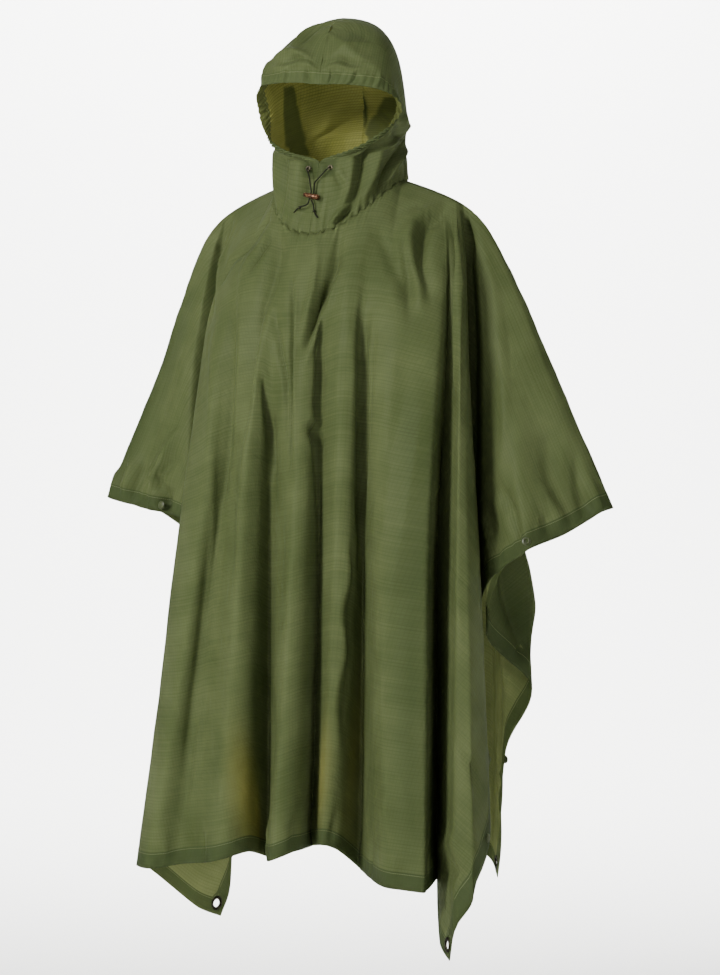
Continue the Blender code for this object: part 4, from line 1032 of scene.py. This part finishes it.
BACK_PUCKERS = (
    (-610, 1000, -600, 1056, 3), (-480, 1010, -486, 1056, -3), (-350, 1000, -342, 1056, 3),
    (-230, 1008, -236, 1056, -3), (-90, 1000, -84, 1056, 3), (30, 1008, 22, 1056, -3),
    (150, 1000, 158, 1056, 3), (290, 1006, 284, 1056, -3), (420, 1000, 428, 1056, 3),
    (560, 1008, 552, 1056, -3), (690, 480, 736, 488, 3.5), (685, 600, 736, 592, -3.5),
    (690, 720, 736, 728, 3), (690, 860, 736, 852, -3), (-690, 120, -736, 128, 3),
    (-690, 400, -736, 392, -3), (-690, 640, -736, 650, 3), (-690, 880, -736, 872, -3),
)
# Low on the front the room's light comes through the single layer of cloth from behind.
# Across, down, wide and long, in millimetres, and how much light comes through.
FRONT_BACKLIT = (
    ((-262, 985, 26, 85), 0.75), ((-246, 1005, 14, 70), 0.90),
    ((98, 955, 16, 75), 0.45), ((168, 930, 24, 130), 0.30),
)

# Painted shade: along the arms' folds, behind a deep fold's crest, and where an edge folds
# back, the cloth is painted darker. A stroke's rise is how much of the darker colour it has.
FRONT_PAINTED_SHADE = (
    ("far_arm", 46, 0.62, ((-400, 20), (-520, 14), (-640, 16), (-736, 30))),
    ("broad_edge", 26, 0.48, (
        (262, 360), (290, 500), (322, 645), (356, 790), (392, 930), (420, 1030))),
)
BACK_PAINTED_SHADE = (
    ("near_edge", 64, 0.66, ((640, 430), (680, 520), (700, 600), (720, 680))),
)



def sheet_relief(points, flat, from_edge, creases, puckers, seed):
    """How far one half of the sheet stands out from its big folds."""
    from_top = running_length(points)
    # The soft unrest dies out towards the shoulders, and is weaker near the hem.
    calm = np.clip(from_top / 0.12, 0, 1) * np.clip(from_edge / 0.05, 0.25, 1)
    height = UNREST_HEIGHT * ruffled(flat, seed) * calm
    strokes = [
        ("pucker", PUCKER_WIDTH, rise, ((x1, y1), (x2, y2))) for x1, y1, x2, y2, rise in puckers
    ]
    drawn = CREASE_DEPTH * creased(flat, creases) + PUCKER_DEPTH * creased(flat, strokes)
    height += drawn / MILLIMETRES * np.clip(from_top / 0.02, 0, 1)
    # The neck's edge is gathered into the seam, all but its two ends at the shoulders.
    neck = np.clip(1 - np.abs(points[0, :, 0]) / NECK_HALF_WIDTH, 0, 1)[None, :] ** 0.3
    around = running_length(points[0])[None, :]
    gathers = gathered(around, from_top, (0.017, 1.6, 61), (0.0092, 2.0, 37), (0.016, 0.006, 95))
    height += GATHER_HEIGHT * gathers * neck
    # The turned hem is double.
    return height + HEM_RISE * (from_edge < HEM_RISE_WIDTH)


sheets = {}
for name, folds, face, creases, puckers, backlit, painted_shade, seed in (
    ("front", FRONT_FOLDS, FRONT, FRONT_CREASES, FRONT_PUCKERS, FRONT_BACKLIT, FRONT_PAINTED_SHADE, 3),
    ("back", BACK_FOLDS, BACK, BACK_CREASES, BACK_PUCKERS, (), BACK_PAINTED_SHADE, 8),
):
    points, cut = hung_half(folds, face)
    points = softened_shoulders(points)
    normals = grid_normals(points, -face)
    from_edge = (np.array([SHEET_WIDTH, SHEET_LENGTH]) / 2 - np.abs(cut)).min(axis=-1)
    flat = np.stack([cut[..., 0], np.abs(cut[..., 1])], axis=-1)
    height = sheet_relief(points, flat, from_edge, creases, puckers, seed)
    places = points + normals * height[..., None]
    beside = np.abs(points[0, :, 0]) >= NECK_HALF_WIDTH
    # The two halves keep clear of each other, along the shoulders and down the arms' folds.
    top = places[:SHOULDER_ROWS, beside, 1]
    places[:SHOULDER_ROWS, beside, 1] = face * np.maximum(face * top, SHOULDER_GAP)
    for column in (0, -1):
        places[:, column, 1] = face * ARM_FOLD_GAP
    sheets[name] = grid_piece(f"{name}_of_sheet", places, flat, sheet_outer, sheet_inner)
    if face == FRONT:
        sheets[name].data.flip_normals()
    painted(sheets[name], "from_edge", from_edge)
    glow = np.zeros(from_edge.shape)
    for place, amount in backlit:
        across, down, wide, long = np.array(place) / MILLIMETRES
        off = ((flat[..., 0] - across) / wide) ** 2 + ((flat[..., 1] - down) / long) ** 2
        glow = np.maximum(glow, amount * np.exp(-off))
    painted(sheets[name], "backlit", glow)
    # Painted shade: darker strokes along the folds and the folded-back edges.
    painted(sheets[name], "painted_shade", creased(flat, painted_shade))
    changed(sheets[name], "SOLIDIFY", "wall", **WALL)
    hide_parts(name)
    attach(sheets[name], "root")


# ---------------------------------------------------------------- hood
# Two D-shaped halves of the same ripstop, sewn together over the crown and down the back. A
# 20 mm casing round the face holds the cord, and the foot is gathered into the neck seam.

SIDES = ("left", "right")
CASING_WIDTH = 0.020
HOOD_TURN = math.radians(5.0)
THROAT_HOOP = 2
FLANK_SHARE = 0.4
FACE_FLARE = dict(left=1.0, right=1.08)
HOOD_ROWS = 190
HOOD_COLUMNS = 110
# Hoops of the hood from its foot to its brim, in millimetres. Columns: name, front x, y and z,
# side x, y and z, seam y and z.
HOOD_HOOPS = (
    ("neck_seam", 0, -105, -82, 105, 0, 4, 85, 20),
    ("collar", 0, -100, -40, 104, 0, 30, 86, 52),
    ("throat_top", 0, -90, 26, 102, -2, 56, 89, 84),
    ("chin", 55, -81, 46, 103, -6, 74, 92, 112),
    ("cheek", 92, -62, 72, 104, -8, 98, 91, 144),
    ("side", 117, -34, 108, 101, -10, 132, 85, 182),
    ("temple", 104, -54, 131, 97, -24, 182, 62, 238),
    ("brow", 62, -78, 143, 77, -47, 216, 20, 264),
    ("brow_inner", 26, -86, 146, 40, -68, 215, -30, 253),
    ("brim_centre", 0, -88, 146, 0, -83, 176, -64, 218),
)
# On the wearer's right the hood hangs slack, so its brim stands wider and higher there.
RIGHT_SLACK = dict(
    side=(0, 0, 2, 6, -6, 2, 0, 0),
    temple=(6, -13, 8, 14, -18, -10, 0, 0),
    brow=(26, -3, 9, 8, -14, -16, 0, 0),
    brow_inner=(20, 0, 6, 4, -8, -12, 0, 0),
)


def hood_knots(side):
    """Each hoop's three places on one half of the hood."""
    slack = RIGHT_SLACK if side == "right" else {}
    return np.array([np.add(row[1:], slack.get(row[0], 0)) for row in HOOD_HOOPS]) / MILLIMETRES


def hood_hoop(hoop, share, side):
    """One hoop, as two quarter ellipses that meet at the side of the head."""
    front, flank, seam = hoop[0:3].copy(), hoop[3:6], np.array([0.0, hoop[6], hoop[7]])
    front[0] *= FACE_FLARE[side]
    ahead = np.clip(share / FLANK_SHARE, 0.0, 1.0) * np.pi / 2
    behind = np.clip((share - FLANK_SHARE) / (1 - FLANK_SHARE), 0.0, 1.0) * np.pi / 2
    first = np.stack([
        front[0] + (flank[0] - front[0]) * np.sin(ahead),
        flank[1] + (front[1] - flank[1]) * np.cos(ahead),
        flank[2] + (front[2] - flank[2]) * np.cos(ahead) ** 1.5,
    ], axis=-1)
    second = np.stack([
        flank[0] * np.cos(behind),
        flank[1] + (seam[1] - flank[1]) * np.sin(behind),
        flank[2] + (seam[2] - flank[2]) * np.sin(behind),
    ], axis=-1)
    arc = np.where((share < FLANK_SHARE)[:, None], first, second)
    arc[:, 0] *= 1 if side == "left" else -1
    return arc


# Creases of each half, on its own cut: across from the face, and up from the neck seam.
LEFT_HOOD_CREASES = (
    ("crown_ridge", 10, 2.7, ((88, 376), (52, 326), (30, 270))),
    ("crown_shade", 24, -3, ((122, 372), (90, 320), (62, 266))),
    ("crown_line", 6, -1.8, ((40, 392), (45, 360), (36, 330))),
    ("brim_wave_1", 6, 3.2, ((24, 384), (31, 356), (26, 330), (30, 306))),
    ("brim_wave_2", 5, -3.2, ((34, 378), (40, 350), (35, 318), (42, 288))),
    ("brim_pinch_1", 4, -3, ((0, 372), (12, 366), (22, 368))),
    ("brim_pinch_2", 4, 2.8, ((0, 362), (12, 357), (20, 354))),
    ("brim_pinch_3", 5, -2.8, ((2, 318), (14, 312), (24, 314))),
    ("brim_pinch_4", 5, 2.8, ((2, 276), (14, 270), (24, 272))),
    ("collar_valley", 9, -8, ((28, 122), (56, 92), (69, 66), (68, 36), (60, 14))),
    ("collar_lip", 6.5, 5.5, ((36, 104), (52, 74), (54, 44), (46, 18))),
    ("collar_bulge", 13, 7.5, ((118, 104), (96, 74), (96, 42), (88, 16))),
    ("collar_fold", 8, -7, ((158, 84), (136, 56), (122, 34), (122, 12))),
    ("collar_fold_lip", 6, 5.5, ((176, 66), (156, 40), (140, 14))),
    ("collar_side", 12, -5, ((190, 100), (196, 66), (184, 30))),
    ("cheek_fold", 10, 5, ((60, 160), (110, 128), (170, 112))),
    ("cheek_shade", 10, -5, ((52, 138), (100, 108), (150, 88))),
    ("eyelet_pinch", 3.5, -3.5, ((26, 62), (34, 55), (42, 48))),
    ("eyelet_pinch_lip", 3.5, 2.8, ((32, 64), (40, 57), (48, 50))),
    ("seam_pinch", 4.5, 5.5, ((64, 22), (48, 16), (34, 6))),
    ("seam_pinch_shade", 4.5, -5, ((66, 12), (50, 7), (40, 0))),
    ("crown_back", 12, -4, ((180, 280), (210, 230), (215, 180))),
    ("back_fold", 12, 4.5, ((240, 150), (225, 100), (235, 50))),
    ("back_line", 3.5, -4, ((214, 172), (238, 149), (258, 125), (288, 97))),
)
RIGHT_HOOD_CREASES = (
    ("crown_facet", 9, -4.5, ((132, 352), (102, 342), (72, 344))),
    ("crown_facet_lip", 7, 4, ((128, 332), (98, 326), (70, 326))),
    ("crown_line", 8, 3.5, ((20, 388), (46, 352), (58, 316), (52, 286))),
    ("brim_wave_1", 6, 3.5, ((24, 388), (30, 356), (26, 326), (32, 296))),
    ("brim_wave_2", 5, -3.2, ((34, 382), (40, 350), (34, 320))),
    ("brim_pinch_1", 4, -3, ((0, 378), (12, 372), (22, 370))),
    ("brim_pinch_2", 5, 2.8, ((2, 330), (14, 326), (24, 328))),
    ("brim_corner", 10, -5.5, ((4, 262), (22, 252), (50, 246))),
    ("brim_corner_lip", 8, 4.5, ((6, 282), (26, 274), (60, 270))),
    ("collar_soft", 14, 5, ((46, 98), (36, 66), (38, 20))),
    ("collar_shade", 8, -5, ((22, 86), (14, 56), (20, 18))),
    ("collar_fold", 10, -5.5, ((90, 92), (74, 60), (76, 16))),
    ("collar_bulge", 12, 5.5, ((130, 94), (108, 58), (104, 18))),
    ("collar_side", 10, -5.5, ((172, 86), (150, 52), (148, 14))),
    ("inner_fold", 8, 4.5, ((106, 196), (116, 168), (146, 134), (206, 84))),
    ("inner_soft", 20, 4, ((200, 180), (230, 140), (262, 90))),
    ("inner_soft_2", 14, -4, ((170, 160), (200, 120), (240, 70))),
    ("crown_back", 12, -4, ((180, 280), (205, 230), (215, 180))),
    ("back_fold", 12, 4.5, ((236, 130), (226, 90), (232, 44))),
)
HOOD_CREASES = dict(left=LEFT_HOOD_CREASES, right=RIGHT_HOOD_CREASES)
# Inside, the sides get painted shade in plain dark green. Outside, the tab that closes the
# throat is double, and painted darker as shade too. Outlines are in millimetres on the cut.
CHEEK_SHADE = 0.75
SHADED_CHEEK = dict(
    left=(
        (186, 160), (204, 147), (229, 132), (265, 109), (300, 83), (300, 50), (200, 60),
        (120, 110), (130, 170)),
    right=(
        (73, 210), (65, 185), (68, 167), (89, 141), (118, 115), (150, 90), (190, 60), (234, 49),
        (223, 64), (202, 87), (156, 122), (124, 151), (101, 175), (95, 205)),
)
TAB_SHADE = 0.50
THROAT_TAB = ((-1, 61), (27, 61), (27, 80), (-1, 80))
BLUR_STEPS = (-0.0016, 0.0, 0.0016)
# Inside the left half one dark line is painted along the back_line crease: a painted shadow.
CREASE_SHADOW_DARKEST = 0.95
CREASE_SHADOW_LINE = (
    ("slack_edge", 2.4, 1.1, ((213, 176), (227, 156), (243, 137), (261, 116), (286, 96))),
)


def within(cut, outline):
    """Which places lie inside an outline on the cut."""
    inside = np.zeros(cut.shape[:2], bool)
    corners = [(x / MILLIMETRES, y / MILLIMETRES) for x, y in outline]
    for (x1, y1), (x2, y2) in zip(corners, corners[1:] + corners[:1]):
        level = (y1 > cut[..., 1]) != (y2 > cut[..., 1])
        rise = y2 - y1 if y2 != y1 else 1.0
        inside ^= level & (cut[..., 0] < x1 + (cut[..., 1] - y1) * (x2 - x1) / rise)
    return inside


def turned_hood(points):
    """Turns the hood to the side, hoop by hoop, from the neck seam up to the throat."""
    hoop = np.arange(len(points)) * (len(HOOD_HOOPS) - 1) / (len(points) - 1)
    share = np.clip(hoop / THROAT_HOOP, 0.0, 1.0)
    angle = (HOOD_TURN * share * share * (3 - 2 * share))[:, None]
    x, y, z = np.moveaxis(points, -1, 0)
    return np.stack([
        x * np.cos(angle) - y * np.sin(angle), x * np.sin(angle) + y * np.cos(angle), z,
    ], axis=-1)


# The same cloth as the sheet's. Its inner face shows the ripstop's grid more strongly.
hood_outer = ripstop("ripstop_hood_olive", "#5F6843", "#4B5532", "#465230", CASING_WIDTH, 0.45)
# Painted light: like the sheet's, the inner face is painted lighter and yellower, and glows.
hood_inner = ripstop(
    "ripstop_hood_inside", "#8A8A4C", "#6E7036", "#3F4828", CASING_WIDTH, 0.8, glow=0.24,
    grid_strength=0.8, shade_attribute="painted_shade_inside",
)

HOOP_BLEND = 0.45
HOOP_BLEND_ENDS = 1.2
HOOD_CREASE_DEPTH = 1.6
HOOD_UNREST_HEIGHT = 0.0009
HOOD_GATHER_HEIGHT = 0.0022
ROPE_HEIGHT = 0.0030
ROPE_WAVELENGTH = 0.0105
CASING_RISE = 0.0008
SEAM_PUCKER_HEIGHT = 0.0007
SEAM_PUCKER_WAVELENGTH = 0.011
THROAT_HEM_WIDTH = 0.010
THROAT_HEM_RISE = 0.0012
FOOT_DROP = 0.0030
# The cord draws the casing into close, rope-like gathers from the throat to the temple, and
# into weaker ones over the brow.
ROPE_HOOPS = (2.0, 2.6, 5.2, 6.4)
ROPE_AMOUNTS = (0.2, 1.0, 1.0, 0.25)

last_hoop = len(HOOD_HOOPS) - 1
hoop_at = np.linspace(0, last_hoop, HOOD_ROWS)


def hood_places(side):
    """A grid of places on one half of the hood, evenly spaced along each hoop."""
    hoops = smooth_rows(hood_knots(side), hoop_at)
    # Above the throat the hoops are blended with their neighbours, less so near the two ends.
    reach = np.exp(-((hoop_at[:, None] - hoop_at[None, :]) / HOOP_BLEND) ** 2)
    from_end = np.minimum(hoop_at - THROAT_HOOP, last_hoop - hoop_at)
    loose = np.clip(from_end / HOOP_BLEND_ENDS, 0, 1)[:, None]
    hoops += (reach @ hoops / reach.sum(axis=1, keepdims=True) - hoops) * loose
    shares = np.linspace(0, 1, LINE_SAMPLES)
    points = np.empty((HOOD_ROWS, HOOD_COLUMNS, 3))
    for number, hoop in enumerate(hoops):
        length = running_length(hood_hoop(hoop, shares, side))
        wanted = np.linspace(0, length[-1], HOOD_COLUMNS)
        points[number] = hood_hoop(hoop, np.interp(wanted, length, shares), side)
    return points


def hood_relief(points, flat, open_face, side):
    """How far one half of the hood stands out from its big shape."""
    across = flat[..., 0]
    from_seam = across[:, -1:] - across
    from_foot = running_length(points)
    hoop_number = hoop_at[:, None] * np.ones(across.shape)
    # The soft unrest dies out at the foot, and is weaker near the face and the crown's seam.
    unrest = ruffled(flat * (0.8, 1.0), 5 if side == "left" else 6)
    height = HOOD_UNREST_HEIGHT * unrest * np.clip(from_foot / 0.03, 0, 1)
    height *= np.clip(across / 0.04, 0.2, 1) * np.clip(from_seam / 0.03, 0.2, 1)
    # The cord's rope-like gathers slant a little, and are highest in the casing's middle.
    drawn = np.interp(hoop_number, ROPE_HOOPS, ROPE_AMOUNTS)
    edge_run = running_length(points[:, 0])[:, None]
    turns = edge_run * 2 * np.pi / ROPE_WAVELENGTH
    rope = np.sin(turns + 1.2 * np.sin(edge_run * 83) + 14 * across)
    height += ROPE_HEIGHT * open_face * drawn * rope * np.exp(-((across - 0.010) / 0.013) ** 2)
    folds = HOOD_CREASE_DEPTH * creased(flat, HOOD_CREASES[side]) / MILLIMETRES
    height += folds * np.clip(from_foot / 0.006, 0, 1)
    height += CASING_RISE * (across < CASING_WIDTH) * open_face
    # The stitches draw the sewn seam in, so that it puckers.
    seam_run = running_length(points[:, -1])[:, None]
    puckers = np.sin(seam_run * 2 * np.pi / SEAM_PUCKER_WAVELENGTH)
    height += SEAM_PUCKER_HEIGHT * puckers * np.exp(-from_seam / 0.007)
    # The foot is gathered into the neck seam, all but the throat's edge.
    around = running_length(points[0])[None, :]
    gathers = gathered(around, from_foot, (0.018, 1.7, 67), (0.0095, 2.0, 41), (0.017, 0.007, 103))
    height += HOOD_GATHER_HEIGHT * gathers * np.clip(around / 0.02, 0, 1)
    # At the throat the left half's edge is a raised strip, sewn over the right half's.
    if side == "left":
        height += THROAT_HEM_RISE * (across < THROAT_HEM_WIDTH) * (hoop_number < THROAT_HOOP)
    return height


hood = {}
for side in SIDES:
    points = hood_places(side)
    across = running_length(points.transpose(1, 0, 2)).T
    up = running_length(points).mean(axis=1)[:, None] * np.ones(across.shape)
    flat = np.stack([across, up], axis=-1)
    open_face = np.clip((hoop_at[:, None] - THROAT_HOOP) / 0.3, 0, 1) * np.ones(across.shape)
    normals = grid_normals(points, 1 if side == "left" else -1)
    height = hood_relief(points, flat, open_face, side)
    places = points + normals * height[..., None]
    # Both halves meet on the middle plane: down the crown's seam, at the throat and the brim.
    places[:, -1, 0] = 0.0
    places[hoop_at <= THROAT_HOOP, 0, 0] = 0.0
    places[-1, :, 0] = 0.0
    places[0, :, 2] -= FOOT_DROP
    places = turned_hood(places)
    hood[side] = grid_piece(f"hood_half_{side}", places, flat, hood_outer, hood_inner)
    if side == "left":
        hood[side].data.flip_normals()
    painted(hood[side], "from_edge", np.where(open_face > 0.5, across, 1.0))
    steps = [(right, above) for right in BLUR_STEPS for above in BLUR_STEPS]
    cheek, tab = [
        amount * np.mean([within(flat + step, outline) for step in steps], axis=0)
        for amount, outline in ((CHEEK_SHADE, SHADED_CHEEK[side]), (TAB_SHADE, THROAT_TAB))
    ]
    if side == "left":
        cheek = np.maximum(cheek, np.clip(creased(flat, CREASE_SHADOW_LINE), 0, CREASE_SHADOW_DARKEST))
    # Painted shade: the throat's tab outside, and the sides and a crease's shadow line inside.
    painted(hood[side], "painted_shade", tab)
    painted(hood[side], "painted_shade_inside", cheek)
    changed(hood[side], "SOLIDIFY", "wall", **WALL)
    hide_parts(f"hood_{side}")
    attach(hood[side], "root")


# ---------------------------------------------------------------- eyelets
# Four brass eyelets in the sheet's corners and two small ones where the cord leaves the hood.
# Each is a barrel pressed through the cloth and rolled over into a round flange on both sides.


def placed_like(node):
    """The middle and the own axis of a flat round CAD node."""
    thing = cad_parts[node]
    spots = np.array([thing.matrix_world @ vertex.co for vertex in thing.data.vertices])
    low, high = spots.min(axis=0), spots.max(axis=0)
    middle = (low + high) / 2
    axis = np.linalg.svd(spots - spots.mean(axis=0))[2][-1]
    return Vector(middle), Vector(axis)


def moved(piece, place, axis):
    """Puts a piece modelled about the origin at a place, with its Z turned to an axis."""
    turn = axis.to_track_quat("Z", "Y").to_matrix().to_4x4()
    piece.data.transform(Matrix.Translation(place) @ turn)


# Blackened brass, rubbed bright in places.
brass = worn_metal(
    "blackened_brass", 300.0, ("#3A362B", 0.45), ("#77705A", 0.75), Metallic=0.9, Roughness=0.36,
)

FLANGE_CLEARANCE = 0.0003
FLANGE_FLATNESS = 0.42
BARREL_WALL = 0.0004
# Columns: node, cloth, and the radii of the bore, the flange and the hole in the cloth.
EYELETS = [
    (f"eyelet_{face}_{side}", sheets[face], 0.0065, 0.0115, 0.0077)
    for face in ("front", "back") for side in SIDES
] + [(f"hood_eyelet_{side}", hood[side], 0.0018, 0.0044, 0.0027) for side in SIDES]
for node, cloth, bore, flange, hole in EYELETS:
    middle, axis = placed_like(node)
    tube = (flange - bore) / 2
    gap = CLOTH_THICKNESS / 2 + FLANGE_CLEARANCE
    bpy.ops.object.select_all(action="DESELECT")
    rolls = []
    for height in (gap, -gap):
        bpy.ops.mesh.primitive_torus_add(
            major_radius=bore + tube, minor_radius=tube, major_segments=40, minor_segments=12,
        )
        roll = bpy.context.object
        squash = Matrix.Diagonal((1, 1, FLANGE_FLATNESS, 1))
        roll.data.transform(Matrix.Translation((0, 0, height)) @ squash)
        rolls.append(roll)
    bpy.ops.mesh.primitive_cylinder_add(
        vertices=40, radius=bore + BARREL_WALL, depth=2 * gap + tube * 0.3,
        end_fill_type="NOTHING",
    )
    barrel = bpy.context.object
    barrel.data.flip_normals()
    for roll in rolls:
        roll.select_set(True)
    bpy.ops.object.join()
    eyelet = bpy.context.object
    eyelet.name = eyelet.data.name = f"rolled_{node}"
    eyelet.data.materials.clear()
    eyelet.data.materials.append(brass)
    eyelet.data.shade_smooth()
    moved(eyelet, middle, axis)
    drilled(cloth, middle, axis, hole, depth=0.012, vertices=32)
    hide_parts(node)
    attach(eyelet, "root")


# ---------------------------------------------------------------- snaps
# Round press studs through the side hems, two to a side: a domed cap outside, with a shallow
# ring pressed into it, and the stud's ring on the inside. They are painted to match the cloth.

# Satin paint on brass: one soft highlight on each cap's dome, another on its ring.
snap_paint = new_material("olive_paint_on_brass", Base_Color=to_linear("#4A5233"), Roughness=0.33)
SNAP_NODES = [
    f"snap_{face}_{side}_{number}"
    for face in ("front", "back") for side in SIDES for number in (1, 2)
]
CAP_RADIUS = 0.0065
CAP_THICKNESS = 0.0012
CAP_ROUNDING = 0.0003
STUD_RING_RADIUS = 0.0040
STUD_RING_WIRE = 0.0009
STUD_RING_DROP = 0.0026
# The cap's dome and pressed ring, from its rim inwards: how far in, and how far up or down.
CAP_STEPS = (
    (0.0010, 0.0006), (0.0013, 0.0003), (0.0006, -0.0002), (0.0007, 0.0003), (0.0012, 0.0002),
)
cloths = surface_of(*sheets.values())
for node in SNAP_NODES:
    middle, axis = placed_like(node)
    foot = cloths.find_nearest(middle)[0]
    if axis.dot(middle - foot) < 0:
        axis = -axis
    bpy.ops.object.select_all(action="DESELECT")
    bpy.ops.mesh.primitive_cylinder_add(vertices=36, radius=CAP_RADIUS, depth=CAP_THICKNESS)
    cap = bpy.context.object
    cap.name = cap.data.name = f"press_{node}"
    bpy.ops.object.mode_set(mode="EDIT")
    bpy.ops.mesh.select_all(action="DESELECT")
    bpy.ops.object.mode_set(mode="OBJECT")
    for face in cap.data.polygons:
        face.select = face.normal.z > 0.9
    bpy.ops.object.mode_set(mode="EDIT")
    bpy.ops.mesh.select_mode(type="FACE")
    for inset, lift in CAP_STEPS:
        bpy.ops.mesh.inset(thickness=inset)
        bpy.ops.transform.translate(value=(0, 0, lift))
    bpy.ops.object.mode_set(mode="OBJECT")
    changed(
        cap, "BEVEL", "rolled_edge", width=CAP_ROUNDING, segments=2, limit_method="ANGLE",
        angle_limit=math.radians(20),
    )
    bpy.ops.object.select_all(action="DESELECT")
    bpy.ops.mesh.primitive_torus_add(
        major_radius=STUD_RING_RADIUS, minor_radius=STUD_RING_WIRE, major_segments=32,
        minor_segments=8, location=(0, 0, -STUD_RING_DROP),
    )
    cap.select_set(True)
    bpy.context.view_layer.objects.active = cap
    bpy.ops.object.join()
    cap.data.materials.clear()
    cap.data.materials.append(snap_paint)
    cap.data.shade_smooth()
    moved(cap, middle, axis)
    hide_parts(node)
    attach(cap, "root")
